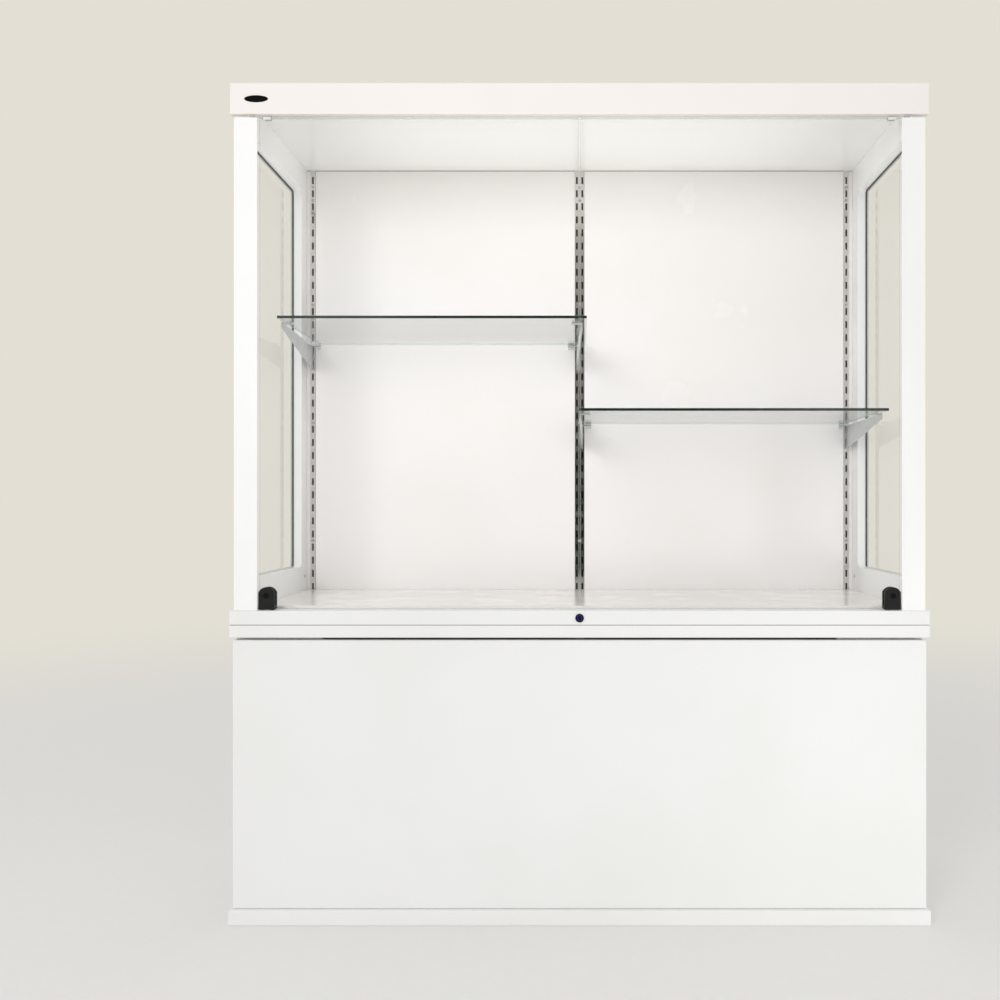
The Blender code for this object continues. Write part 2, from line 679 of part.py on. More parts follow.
def build_hinge_block(side, sign, pivot):
    """Make one black block that grips the bottom corner of a door and turns on the pivot pin."""
    half = BLOCK_WIDTH / 2
    shoulder = BLOCK_HEIGHT - BLOCK_ARC_RISE
    radius = (half**2 + BLOCK_ARC_RISE**2) / (2 * BLOCK_ARC_RISE)
    sweep = math.asin(half / radius)
    y0 = DOOR_Y - BLOCK_DEPTH / 2
    outline = [(pivot[0] - half, y0, BLOCK_Z0), (pivot[0] + half, y0, BLOCK_Z0)]
    for step in range(13):
        turn = sweep * (1 - step / 6)
        x = pivot[0] + radius * math.sin(turn)
        z = BLOCK_Z0 + shoulder + BLOCK_ARC_RISE - radius * (1 - math.cos(turn))
        outline.append((x, y0, z))
    shape = bmesh.new()
    add_prism(shape, outline, (0, BLOCK_DEPTH, 0))
    block = add_object("hinge_block_" + side, shape, "black", pivot)
    round_edges(block, BLOCK_ROUND)
    slot = bmesh.new()
    slot_half = DOOR_GLASS_THICKNESS / 2 + FIT_GAP
    add_box(
        slot,
        (pivot[0] - BLOCK_WIDTH, pivot[0] + BLOCK_WIDTH),
        (DOOR_Y - slot_half, DOOR_Y + slot_half),
        (BLOCK_Z0 + BLOCK_SOLE, BLOCK_Z0 + 2 * BLOCK_HEIGHT),
    )
    combine(block, slot, "DIFFERENCE", "glass_slot")
    bore = bmesh.new()
    bore_z1 = CASE_FLOOR + FIT_GAP + WASHER_THICKNESS + PIN_RISE + PIN_PLAY
    low = (pivot[0], DOOR_Y, BLOCK_Z0 - PIN_RISE)
    add_cylinder(bore, PIN_RADIUS + PIN_PLAY, low, (pivot[0], DOOR_Y, bore_z1))
    combine(block, bore, "DIFFERENCE", "pin_bore")


def build_door(side, sign):
    """Make one glass door with its bottom block, its top clip and the pivot pin in the case floor."""
    pivot = (sign * PIVOT_X, DOOR_Y, BLOCK_Z0)
    board(
        "door_glass_" + side,
        (sign * DOOR_MEETING_GAP / 2, sign * DOOR_X1),
        (DOOR_Y - DOOR_GLASS_THICKNESS / 2, DOOR_Y + DOOR_GLASS_THICKNESS / 2),
        (DOOR_Z0, DOOR_Z1),
        "glass",
        False,
        pivot,
    )
    build_hinge_block(side, sign, pivot)

    rest = CASE_FLOOR + FIT_GAP
    shape = bmesh.new()
    washer_top = rest + WASHER_THICKNESS
    add_cylinder(shape, WASHER_RADIUS, (pivot[0], DOOR_Y, rest), (pivot[0], DOOR_Y, washer_top))
    pin = add_object("pivot_pin_" + side, shape, "zinc")
    stem = bmesh.new()
    low = (pivot[0], DOOR_Y, CASE_FLOOR - SPIGOT_LENGTH)
    add_cylinder(stem, PIN_RADIUS, low, (pivot[0], DOOR_Y, washer_top + PIN_RISE))
    combine(pin, stem, "UNION", "stem")

    shape = bmesh.new()
    clip_top = DOOR_Z1 + FIT_GAP + CLIP_CAP
    add_box(
        shape,
        (pivot[0] - CLIP_WIDTH / 2, pivot[0] + CLIP_WIDTH / 2),
        (DOOR_Y - CLIP_DEPTH / 2, DOOR_Y + CLIP_DEPTH / 2),
        (DOOR_Z1 - CLIP_HEIGHT, clip_top),
    )
    clip = add_object("top_clip_" + side, shape, "nylon", pivot)
    slot = bmesh.new()
    slot_half = DOOR_GLASS_THICKNESS / 2 + FIT_GAP
    add_box(
        slot,
        (pivot[0] - CLIP_WIDTH, pivot[0] + CLIP_WIDTH),
        (DOOR_Y - slot_half, DOOR_Y + slot_half),
        (DOOR_Z1 - 2 * CLIP_HEIGHT, DOOR_Z1 + FIT_GAP),
    )
    combine(clip, slot, "DIFFERENCE", "glass_slot")
    stub = bmesh.new()
    low = (pivot[0], DOOR_Y, clip_top - CLIP_CAP / 2)
    add_cylinder(stub, TOP_PIN_RADIUS, low, (pivot[0], DOOR_Y, DOOR_Z1 + CLIP_CAP + TOP_PIN_RISE), 16)
    combine(clip, stub, "UNION", "pin")


def build_lock():
    """Make the cam lock: a fixed barrel, and a plug and cam that turn together about the lock axis."""
    axis = (0.0, FACE, LOCK_Z)
    shape = bmesh.new()
    bezel_y0 = FACE - FIT_GAP - LOCK_BEZEL_THICKNESS
    barrel_y1 = FACE + LOCK_BARREL_LENGTH
    add_cylinder(shape, LOCK_BEZEL_RADIUS, (0, bezel_y0, LOCK_Z), (0, FACE - FIT_GAP, LOCK_Z), 32)
    barrel = add_object("lock_barrel", shape, "black")
    sleeve = bmesh.new()
    sleeve_y0 = FACE - FIT_GAP - LOCK_BEZEL_THICKNESS / 2
    add_cylinder(sleeve, LOCK_BARREL_RADIUS, (0, sleeve_y0, LOCK_Z), (0, barrel_y1, LOCK_Z))
    combine(barrel, sleeve, "UNION", "sleeve")
    bore = bmesh.new()
    bore_y0 = bezel_y0 - LOCK_BEZEL_THICKNESS
    bore_y1 = barrel_y1 + LOCK_BEZEL_THICKNESS
    add_cylinder(bore, LOCK_PLUG_RADIUS + FIT_GAP, (0, bore_y0, LOCK_Z), (0, bore_y1, LOCK_Z))
    combine(barrel, bore, "DIFFERENCE", "plug_bore")

    shape = bmesh.new()
    plug_y1 = LOCK_CAM_Y0 - FIT_GAP
    plug_y0 = bezel_y0 + LOCK_BEZEL_THICKNESS / 4
    add_cylinder(shape, LOCK_PLUG_RADIUS, (0, plug_y0, LOCK_Z), (0, plug_y1, LOCK_Z))
    plug = add_object("lock_plug", shape, "chrome", axis)
    keyway = bmesh.new()
    add_box(
        keyway,
        (-KEYWAY_WIDTH / 2, KEYWAY_WIDTH / 2),
        (plug_y0 - KEYWAY_DEPTH, plug_y0 + KEYWAY_DEPTH),
        (LOCK_Z - KEYWAY_HEIGHT / 2, LOCK_Z + KEYWAY_HEIGHT / 2),
    )
    combine(plug, keyway, "DIFFERENCE", "keyway")

    half = LOCK_CAM_WIDTH / 2
    outline = []
    for step in range(9):
        turn = math.pi / 2 + math.pi * step / 8
        outline.append((half * math.cos(turn), LOCK_CAM_Y0, LOCK_Z + half * math.sin(turn)))
    outline.append((LOCK_CAM_LENGTH - half / 2, LOCK_CAM_Y0, LOCK_Z - half))
    outline.append((LOCK_CAM_LENGTH, LOCK_CAM_Y0, LOCK_Z - half / 2))
    outline.append((LOCK_CAM_LENGTH, LOCK_CAM_Y0, LOCK_Z + half / 2))
    outline.append((LOCK_CAM_LENGTH - half / 2, LOCK_CAM_Y0, LOCK_Z + half))
    shape = bmesh.new()
    add_prism(shape, outline, (0, LOCK_CAM_THICKNESS, 0))
    add_object("lock_cam", shape, "zinc", axis)


def main():
    """Build the whole case."""
    clear_scene()
    build_cabinet()
    build_floor_and_roof()
    build_side_frames()
    build_back()
    build_shelves()
    for side, sign in SIDES:
        build_door(side, sign)
    build_lock()


main()
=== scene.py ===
"""Looks of the white two-bay display case: finishes, small fittings, camera and light.

Units are metres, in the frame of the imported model: the front faces -Y and Z is up.
"""

from __future__ import annotations

import logging
import math
from dataclasses import dataclass
from enum import Enum
from typing import Any, Dict, List, Optional, Sequence, Tuple, Union

import bmesh
import bpy
import numpy as np
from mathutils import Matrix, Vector

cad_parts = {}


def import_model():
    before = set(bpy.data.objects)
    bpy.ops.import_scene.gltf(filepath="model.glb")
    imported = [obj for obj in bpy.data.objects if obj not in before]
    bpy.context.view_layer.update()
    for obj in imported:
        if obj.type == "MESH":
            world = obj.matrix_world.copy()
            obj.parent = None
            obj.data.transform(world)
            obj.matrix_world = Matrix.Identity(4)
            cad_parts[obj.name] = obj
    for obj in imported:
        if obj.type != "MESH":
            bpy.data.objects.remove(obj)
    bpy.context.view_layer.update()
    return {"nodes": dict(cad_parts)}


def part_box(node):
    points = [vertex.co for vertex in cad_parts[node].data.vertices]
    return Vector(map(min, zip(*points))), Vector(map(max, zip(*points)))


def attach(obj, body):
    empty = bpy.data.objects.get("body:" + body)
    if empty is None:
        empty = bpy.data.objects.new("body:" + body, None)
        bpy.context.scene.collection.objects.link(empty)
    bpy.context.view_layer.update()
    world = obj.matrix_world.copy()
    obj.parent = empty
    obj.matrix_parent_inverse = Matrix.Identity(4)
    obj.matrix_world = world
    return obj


LOG = logging.getLogger("display_case")

MERGE_DISTANCE = 1e-6
SHARP_ANGLE = 40.0
COSINE_DIGITS = 9

# Places of the colour sockets on Blender's Mix node.
MIX_FIRST = 6
MIX_SECOND = 7
MIX_RESULT = 2

CLEAR_IOR = 1.5
GRAIN_HEIGHT = 0.0003
POLISH_HEIGHT = 0.0002

Colour = Tuple[float, float, float]
Point = Tuple[float, float, float]

FRONT = (0.0, -1.0, 0.0)
REAR = (0.0, 1.0, 0.0)


class Side(Enum):
    """Which side of the case a piece is on, with the sign of its X."""

    LEFT = ("left", -1.0)
    RIGHT = ("right", 1.0)

    @property
    def label(self) -> str:
        """Return the word used in node names."""
        return self.value[0]

    @property
    def sign(self) -> float:
        """Return the sign of X on this side."""
        return self.value[1]


class Drive(Enum):
    """The recess in a screw's head."""

    CROSS = "cross"
    HEX = "hex"


class Axis(Enum):
    """A direction of the frame, such as the one that a pane is thin in."""

    X = 0
    Y = 1
    Z = 2


class Glazing(Enum):
    """Which pane a sheet of glass is, with its tint and how far its edges hide what is behind."""

    DOOR = ((0.996, 0.998, 0.997), 0.60)
    SIDE = ((0.992, 0.996, 0.994), 0.12)
    SHELF = ((0.984, 0.993, 0.989), 0.30)

    @property
    def tint(self) -> Colour:
        """Return the colour that light keeps at each face."""
        return self.value[0]

    @property
    def edge_cover(self) -> float:
        """Return the share of light that an edge stops."""
        return self.value[1]


def linear(red: int, green: int, blue: int) -> Colour:
    """Turn an 8-bit screen colour into linear light, by the sRGB curve.

    Args:
        red: Red, 0 to 255.
        green: Green, 0 to 255.
        blue: Blue, 0 to 255.

    Returns:
        The three linear values.
    """
    parts = np.array((red, green, blue)) / 255.0
    light = np.where(parts <= 0.04045, parts / 12.92, ((parts + 0.055) / 1.055) ** 2.4)
    return (float(light[0]), float(light[1]), float(light[2]))


def darker(colour: Colour, share: float) -> Colour:
    """Return a share of a colour."""
    return (share * colour[0], share * colour[1], share * colour[2])


class Signal:
    """A shader value that Python's operators work on by adding Math nodes."""

    def __init__(self, recipe: Recipe, socket: bpy.types.NodeSocket) -> None:
        """Keep the recipe that owns the nodes, and the socket that gives the value."""
        self.recipe = recipe
        self.socket = socket

    def __add__(self, other: Value) -> Signal:
        """Return self + other."""
        return self.recipe.maths("ADD", self, other)

    def __radd__(self, other: Value) -> Signal:
        """Return other + self."""
        return self.recipe.maths("ADD", other, self)

    def __sub__(self, other: Value) -> Signal:
        """Return self - other."""
        return self.recipe.maths("SUBTRACT", self, other)

    def __rsub__(self, other: Value) -> Signal:
        """Return other - self."""
        return self.recipe.maths("SUBTRACT", other, self)

    def __mul__(self, other: Value) -> Signal:
        """Return self times other."""
        return self.recipe.maths("MULTIPLY", self, other)

    def __rmul__(self, other: Value) -> Signal:
        """Return other times self."""
        return self.recipe.maths("MULTIPLY", other, self)

    def __gt__(self, other: Value) -> Signal:
        """Return 1 where self is above other, and 0 elsewhere."""
        return self.recipe.maths("GREATER_THAN", self, other)

    def __lt__(self, other: Value) -> Signal:
        """Return 1 where self is below other, and 0 elsewhere."""
        return self.recipe.maths("LESS_THAN", self, other)

    def __pow__(self, other: Value) -> Signal:
        """Return self to the power of other."""
        return self.recipe.maths("POWER", self, other)

    def __abs__(self) -> Signal:
        """Return self without its sign."""
        return self.recipe.maths("ABSOLUTE", self)

    def __or__(self, other: Value) -> Signal:
        """Return the larger of two masks."""
        return self.recipe.maths("MAXIMUM", self, other)

    def ramp(self, low: float, high: float) -> Signal:
        """Return a soft step from 0 at low to 1 at high.

        Args:
            low: Value at which the step starts.
            high: Value at which the step ends.

        Returns:
            The step as a signal.
        """
        return self.recipe.add(
            "ShaderNodeMapRange",
            {"interpolation_type": "SMOOTHSTEP"},
            {"Value": self, "From Min": low, "From Max": high},
        )


Value = Union[Signal, float]


class Recipe:
    """The node tree of one material or of the world, filled in node by node."""

    def __init__(self, tree: bpy.types.NodeTree) -> None:
        """Start with an empty tree."""
        self.tree = tree
        tree.nodes.clear()

    def add(
        self,
        kind: str,
        settings: Optional[Dict[str, Any]] = None,
        sockets: Optional[Dict[Union[int, str], Any]] = None,
        output: Union[int, str] = 0,
    ) -> Signal:
        """Add any node.

        Args:
            kind: Blender's name for the node's type.
            settings: Properties of the node, which are set first.
            sockets: Values or signals for its inputs, by name or place.
            output: The output that is wanted.

        Returns:
            That output as a signal.
        """
        node = self.tree.nodes.new(kind)
        for key, value in (settings or {}).items():
            setattr(node, key, value)
        for key, value in (sockets or {}).items():
            entry = node.inputs[key]
            if isinstance(value, Signal):
                self.tree.links.new(value.socket, entry)
            elif entry.type == "RGBA":
                entry.default_value = (*value, 1.0)
            else:
                entry.default_value = value
        return Signal(self, node.outputs[output])

    def maths(self, operation: str, *values: Value) -> Signal:
        """Add a Math node on values and signals."""
        return self.add("ShaderNodeMath", {"operation": operation}, dict(enumerate(values)))

    def place(self) -> Signal:
        """Return the point on the piece, in the frame that the piece sits in at rest."""
        return self.add("ShaderNodeTexCoord", output="Object")

    def along(self, axis: Axis) -> Signal:
        """Return one coordinate of that point."""
        return self.add("ShaderNodeSeparateXYZ", sockets={0: self.place()}, output=axis.value)

    def noise(self, scale: float, detail: float, stretch: Point = (1.0, 1.0, 1.0)) -> Signal:
        """Return noise of 0 to 1.

        Args:
            scale: Spots per metre.
            detail: Number of finer layers.
            stretch: Factor on each axis, below 1 to draw the spots out along it.

        Returns:
            The noise as a signal.
        """
        spot = self.add("ShaderNodeMapping", sockets={"Vector": self.place(), "Scale": stretch})
        sockets = {"Vector": spot, "Scale": scale, "Detail": detail}
        return self.add("ShaderNodeTexNoise", sockets=sockets)

    def blend(self, factor: Value, first: Any, second: Any) -> Signal:
        """Return a colour between two colours."""
        sockets = {0: factor, MIX_FIRST: first, MIX_SECOND: second}
        return self.add("ShaderNodeMix", {"data_type": "RGBA"}, sockets, MIX_RESULT)

    def bump(self, height: Signal, strength: float, distance: float = GRAIN_HEIGHT) -> Signal:
        """Return a normal that follows a height."""
        sockets = {"Height": height, "Strength": strength, "Distance": distance}
        return self.add("ShaderNodeBump", sockets=sockets)

    def principled(self, **sockets: Any) -> Signal:
        """Return a Principled shader, its inputs given with _ for a space."""
        named = {key.replace("_", " "): value for key, value in sockets.items()}
        return self.add("ShaderNodeBsdfPrincipled", sockets=named)

    def see_through(self, tint: Colour) -> Signal:
        """Return a shader that lets light straight through, tinted."""
        return self.add("ShaderNodeBsdfTransparent", sockets={"Color": tint})

    def glow(self, colour: Any) -> Signal:
        """Return a shader that shows a colour as it is, whatever the light."""
        return self.add("ShaderNodeEmission", sockets={"Color": colour, "Strength": 1.0})

    def sky(self, colour: Colour, strength: float) -> Signal:
        """Return an even sky for the world."""
        return self.add("ShaderNodeBackground", sockets={"Color": colour, "Strength": strength})

    def straight_rays(self) -> Signal:
        """Return 1 for rays from the camera, from gloss and through glass."""
        camera, gloss, glass = (
            self.add("ShaderNodeLightPath", output=f"Is {kind} Ray")
            for kind in ("Camera", "Glossy", "Transmission")
        )
        return camera | gloss | glass

    def mix_shaders(self, factor: Value, first: Signal, second: Signal) -> Signal:
        """Return a mix of two shaders."""
        return self.add("ShaderNodeMixShader", sockets={0: factor, 1: first, 2: second})

    def close(self, shader: Signal, kind: str = "ShaderNodeOutputMaterial") -> None:
        """Join the shader to the tree's output."""
        end = self.tree.nodes.new(kind)
        self.tree.links.new(shader.socket, end.inputs["Surface"])


@dataclass(frozen=True)
class Finish:
    """A surface finish, which becomes a material of its own name."""

    name: str

    def shader(self, recipe: Recipe) -> Signal:
        """Return the finish's shader."""
        raise NotImplementedError

    def build(self) -> bpy.types.Material:
        """Return the finish as a material."""
        made = bpy.data.materials.new(self.name)
        made.use_nodes = True
        recipe = Recipe(made.node_tree)
        recipe.close(self.shader(recipe))
        return made


@dataclass(frozen=True)
class FacedBoard(Finish):
    """White faced board: faint clouds and specks, a fine orange peel and handling marks."""

    colour: Colour
    cloud: Colour
    roughness: float = 0.38
    peel: float = 0.10
    joint_z: Optional[float] = None
    joint_half: float = 0.0007
    joint_dust: Colour = linear(158, 156, 151)
    speck_share: float = 0.25
    mark_sheen: float = 0.10
    ripple_share: float = 0.4

    def shader(self, recipe: Recipe) -> Signal:
        """Return the finish's shader, darkened in a band at a joint's height if one is named, as
        dust and painted shade in the joint and on the underside of the board above it.
        """
        cloud = recipe.noise(scale=2.3, detail=3.0).ramp(0.35, 0.70)
        specks = recipe.noise(scale=420.0, detail=1.0).ramp(0.66, 0.80)
        faced = recipe.blend(cloud, self.colour, self.cloud)
        base = recipe.blend(specks * self.speck_share, faced, self.cloud)
        if self.joint_z is not None:
            # Painted shade with some dust: the band darkens the joint line and the underside of
            # the board resting there.
            joint = abs(recipe.along(Axis.Z) - self.joint_z) < self.joint_half
            base = recipe.blend(joint, base, self.joint_dust)
        marks = recipe.noise(scale=9.0, detail=4.0, stretch=(1.0, 1.0, 0.35)).ramp(0.45, 0.75)
        sheen = self.roughness + self.mark_sheen * marks
        ripple = recipe.noise(scale=170.0, detail=1.0)
        peel = recipe.noise(scale=650.0, detail=2.0) + self.ripple_share * ripple
        normal = recipe.bump(peel, self.peel)
        return recipe.principled(Base_Color=base, Roughness=sheen, Normal=normal, IOR=CLEAR_IOR)


@dataclass(frozen=True)
class GrooveBoard(Finish):
    """Gloss-faced back board: its grooves show the raw board inside in painted shade, and a
    painted shadow line runs along its top edge under the roof.
    """

    colour: Colour
    cloud: Colour
    core: Colour
    face_y: float
    rear_y: float
    seam_z: float
    seam_shade: Colour = linear(172, 170, 166)
    roughness: float = 0.20
    mark_sheen: float = 0.08
    groove_sheen: float = 0.55
    fibre_shade: float = 0.5

    def shader(self, recipe: Recipe) -> Signal:
        """Return the finish's shader, in painted shade wherever a point lies behind the face."""
        depth = recipe.along(Axis.Y)
        groove = (depth > self.face_y) * (depth < self.rear_y)
        cloud = recipe.noise(scale=1.9, detail=3.0).ramp(0.35, 0.70)
        faced = recipe.blend(cloud, self.colour, self.cloud)
        fibre = recipe.noise(scale=600.0, detail=3.0, stretch=(1.0, 1.0, 0.3))
        # Painted shade: the grooves seen through the upright slots are near black.
        shaded_core = recipe.blend(fibre, self.core, darker(self.core, self.fibre_shade))
        # Painted shadow: a grey strip above seam_z, where the board meets the roof.
        seam_shaded = recipe.blend(recipe.along(Axis.Z) > self.seam_z, faced, self.seam_shade)
        base = recipe.blend(groove, seam_shaded, shaded_core)
        marks = recipe.noise(scale=6.0, detail=4.0).ramp(0.45, 0.75)
        sheen = self.roughness + self.mark_sheen * marks + self.groove_sheen * groove
        normal = recipe.bump(recipe.noise(scale=330.0, detail=2.0), strength=0.06)
        return recipe.principled(Base_Color=base, Roughness=sheen, Normal=normal, IOR=CLEAR_IOR)


@dataclass(frozen=True)
class SprayedPaint(Finish):
    """White sprayed enamel on wood: long soft waves, fine orange peel and a clear top coat."""

    colour: Colour
    shade: Colour
    roughness: float = 0.30
    wave_share: float = 0.6
    mark_sheen: float = 0.10

    def shader(self, recipe: Recipe) -> Signal:
        """Return the finish's shader."""
        waves = recipe.noise(scale=14.0, detail=2.0, stretch=(1.0, 1.0, 0.25)).ramp(0.30, 0.75)
        base = recipe.blend(self.wave_share * waves, self.colour, self.shade)
        marks = recipe.noise(scale=22.0, detail=4.0).ramp(0.50, 0.80)
        peel = recipe.noise(scale=520.0, detail=2.0) + self.wave_share * waves
        return recipe.principled(
            Base_Color=base,
            Roughness=self.roughness + self.mark_sheen * marks,
            Normal=recipe.bump(peel, strength=0.10),
            Coat_Weight=0.15,
            Coat_Roughness=0.12,
        )


@dataclass(frozen=True)
class PaneGlass(Finish):
    """Clear float glass: see-through faces with a mirror gloss, and green edges.

    A shelf's front edge is dark green in painted shade, with streaks of painted reflection, and
    the edge of a door at its post is polished clear.
    """

    kind: Glazing
    thin: Axis
    low: Point
    high: Point
    # Dark green in painted shade, and its painted reflection streaks, for a shelf's front edge.
    front_edge: Colour = linear(10, 24, 22)
    front_light: Colour = linear(30, 52, 47)
    pale_edge: Colour = linear(170, 198, 186)
    rim: float = 0.0004
    polish: float = 0.8
    gloss: float = 0.02
    smear_sheen: float = 0.05
    edge_sheen: float = 0.08

    def edge_mask(self, recipe: Recipe) -> Signal:
        """Return 1 on the four narrow edges of the pane, and 0 on its two faces."""
        found = None
        for axis in Axis:
            if axis is self.thin:
                continue
            middle = (self.low[axis.value] + self.high[axis.value]) / 2
            half = (self.high[axis.value] - self.low[axis.value]) / 2
            near = abs(recipe.along(axis) - middle) > half - self.rim
            found = near if found is None else found | near
        return found

    def post_mask(self, recipe: Recipe) -> Signal:
        """Return 1 on a door's edge at its post, and 0 elsewhere."""
        hung_x = max(abs(self.low[0]), abs(self.high[0])) - self.rim
        return abs(recipe.along(Axis.X)) > hung_x

    def front_mask(self, recipe: Recipe) -> Signal:
        """Return 1 on a shelf's front edge, and 0 elsewhere."""
        return recipe.along(Axis.Y) < self.low[1] + self.rim

    def face(self, recipe: Recipe) -> Signal:
        """Return the shader of a face, which mirrors on its outside only."""
        smears = recipe.noise(scale=7.0, detail=3.0, stretch=(1.0, 1.0, 0.4)).ramp(0.40, 0.80)
        sheen = self.gloss + self.smear_sheen * smears
        mirror = recipe.add("ShaderNodeBsdfGlossy", sockets={"Roughness": sheen})
        outer = 1.0 - recipe.add("ShaderNodeNewGeometry", output="Backfacing")
        share = recipe.add("ShaderNodeFresnel", sockets={"IOR": CLEAR_IOR}) * outer
        return recipe.mix_shaders(share, recipe.see_through(self.kind.tint), mirror)

    def shader(self, recipe: Recipe) -> Signal:
        """Return the finish's shader, the face with the edges laid over it."""
        edges = self.edge_mask(recipe)
        cover = edges * self.kind.edge_cover
        colour = self.pale_edge
        if self.kind is Glazing.DOOR:
            cover = cover * (1.0 - self.polish * self.post_mask(recipe))
        if self.kind is Glazing.SHELF:
            # Painted shade on the shelf's front edge, with lighter streaks of painted reflection.
            front = self.front_mask(recipe)
            reflection_streaks = recipe.noise(scale=35.0, detail=2.0, stretch=(1.0, 1.0, 4.0))
            dark = recipe.blend(reflection_streaks, self.front_edge, self.front_light)
            colour = recipe.blend(front, self.pale_edge, dark)
            cover = cover | (edges * front)
        edge = recipe.principled(Base_Color=colour, Roughness=self.edge_sheen, IOR=CLEAR_IOR)
        return recipe.mix_shaders(cover, self.face(recipe), edge)


@dataclass(frozen=True)
class PlatedSteel(Finish):
    """Bright plated steel, drawn along one axis, with clouds in the polish, and painted shade deep
    inside a hollow.
    """

    colour: Colour
    dull: Colour
    roughness: float
    draw: Point = (1.0, 1.0, 0.03)
    channel_y: Optional[float] = None
    channel: Colour = (0.006, 0.005, 0.005)
    cloud_sheen: float = 0.12
    drawn_sheen: float = 0.05

    def shader(self, recipe: Recipe) -> Signal:
        """Return the finish's shader, in painted shade past a depth if one is named."""
        drawn = recipe.noise(scale=900.0, detail=2.0, stretch=self.draw)
        clouds = recipe.noise(scale=30.0, detail=4.0).ramp(0.35, 0.75)
        base = recipe.blend(0.5 * drawn + 0.5 * clouds, self.colour, self.dull)
        if self.channel_y is not None:
            # Painted shade: everything deeper than channel_y is near black, as the unlit inside of
            # the upright.
            base = recipe.blend(recipe.along(Axis.Y) > self.channel_y, base, self.channel)
        sheen = self.roughness + self.cloud_sheen * clouds + self.drawn_sheen * drawn
        normal = recipe.bump(drawn, strength=0.05, distance=POLISH_HEIGHT)
        return recipe.principled(Base_Color=base, Metallic=1.0, Roughness=sheen, Normal=normal)


@dataclass(frozen=True)
class Moulded(Finish):
    """Moulded plastic or a dull coat: fine grain in the surface and soft wear in the sheen."""

    colour: Colour
    worn: Colour
    roughness: float
    grain: float = 900.0
    grain_strength: float = 0.25
    gloss: float = 0.5
    wear_sheen: float = 0.12

    def covered(self, recipe: Recipe, base: Signal) -> Signal:
        """Return the colour with what covers it, which is nothing on a plain piece."""
        return base

    def shader(self, recipe: Recipe) -> Signal:
        """Return the finish's shader."""
        wear = recipe.noise(scale=60.0, detail=3.0).ramp(0.45, 0.80)
        base = recipe.blend(wear, self.colour, self.worn)
        grain = recipe.noise(scale=self.grain, detail=2.0)
        return recipe.principled(
            Base_Color=self.covered(recipe, base),
            Roughness=self.roughness + self.wear_sheen * wear,
            Normal=recipe.bump(grain, self.grain_strength),
            Specular_IOR_Level=self.gloss,
        )


@dataclass(frozen=True)
class GlazingSeal(Moulded):
    """Black grained wedge inside the pane, with white tape outside it and along its foot."""

    tape: Colour = linear(236, 235, 230)
    wedge_x: float = 0.7324
    foot_top_z: float = 0.7408

    def covered(self, recipe: Recipe, base: Signal) -> Signal:
        """Return the colour, white where the tape is."""
        outside = abs(recipe.along(Axis.X)) > self.wedge_x
        taped = outside | (recipe.along(Axis.Z) < self.foot_top_z)
        return recipe.blend(taped, base, self.tape)


@dataclass(frozen=True)
class ClearPad(Finish):
    """Soft clear silicone: see-through, with a milky body."""

    colour: Colour
    roughness: float = 0.18
    milk_sheen: float = 0.10
    body_share: float = 0.24
    milk_share: float = 0.16

    def shader(self, recipe: Recipe) -> Signal:
        """Return the finish's shader."""
        milk = recipe.noise(scale=160.0, detail=2.0)
        sheen = self.roughness + self.milk_sheen * milk
        body = recipe.principled(Base_Color=self.colour, Roughness=sheen)
        share = self.body_share + self.milk_share * milk
        return recipe.mix_shaders(share, recipe.see_through(self.colour), body)


@dataclass(frozen=True)
class LockBlack(Finish):
    """Black lock face with a blue ring about the lock's axis."""

    colour: Colour
    ring: Colour
    centre_z: float
    ring_radius: float
    ring_half_width: float
    roughness: float = 0.22
    turned_sheen: float = 0.10

    def shader(self, recipe: Recipe) -> Signal:
        """Return the finish's shader, the ring being where sqrt(x^2 + z^2) is near its radius."""
        across = recipe.along(Axis.X)
        up = recipe.along(Axis.Z) - self.centre_z
        radius = (across * across + up * up) ** 0.5
        ring = abs(radius - self.ring_radius) < self.ring_half_width
        turned = recipe.noise(scale=700.0, detail=2.0)
        return recipe.principled(
            Base_Color=recipe.blend(ring, self.colour, self.ring),
            Roughness=self.roughness + self.turned_sheen * turned,
            Normal=recipe.bump(turned, strength=0.05, distance=POLISH_HEIGHT),
            Specular_IOR_Level=0.25,
        )


@dataclass(frozen=True)
class DarkCard(Finish):
    """A glowing card that paints reflections into metal, dark low in its middle and paler upwards
    and to its sides.
    """

    low: Colour = (0.030, 0.024, 0.022)
    middle: Colour = (0.24, 0.21, 0.19)
    top: Colour = (0.62, 0.60, 0.57)
    side: Colour = (0.85, 0.84, 0.82)

    def shader(self, recipe: Recipe) -> Signal:
        """Return the finish's shader."""
        height = recipe.along(Axis.Z)
        shade = recipe.blend(height.ramp(0.9, 2.3), self.low, self.middle)
        shade = recipe.blend(height.ramp(2.3, 3.6), shade, self.top)
        aside = abs(recipe.along(Axis.X)).ramp(0.9, 1.7)
        # The card glows: it paints dark and pale reflections into the metal.
        return recipe.glow(recipe.blend(aside, shade, self.side))


@dataclass(frozen=True)
class PaleFloor(Finish):
    """Pale studio floor that fades into the backdrop far from the case."""

    colour: Colour
    backdrop: Colour
    fade_start: float = 1.6
    fade_end: float = 6.0
    grain_shade: float = 0.97
    roughness: float = 0.55
    grain_sheen: float = 0.1

    def shader(self, recipe: Recipe) -> Signal:
        """Return the finish's shader, faded by sqrt(x^2 + y^2) for straight rays only."""
        grain = recipe.noise(scale=40.0, detail=3.0)
        base = recipe.blend(grain, self.colour, darker(self.colour, self.grain_shade))
        sheen = self.roughness + self.grain_sheen * grain
        lit = recipe.principled(Base_Color=base, Roughness=sheen)
        square = recipe.along(Axis.X) ** 2.0 + recipe.along(Axis.Y) ** 2.0
        fade = (square**0.5).ramp(self.fade_start, self.fade_end) * recipe.straight_rays()
        return recipe.mix_shaders(fade, lit, recipe.glow(self.backdrop))


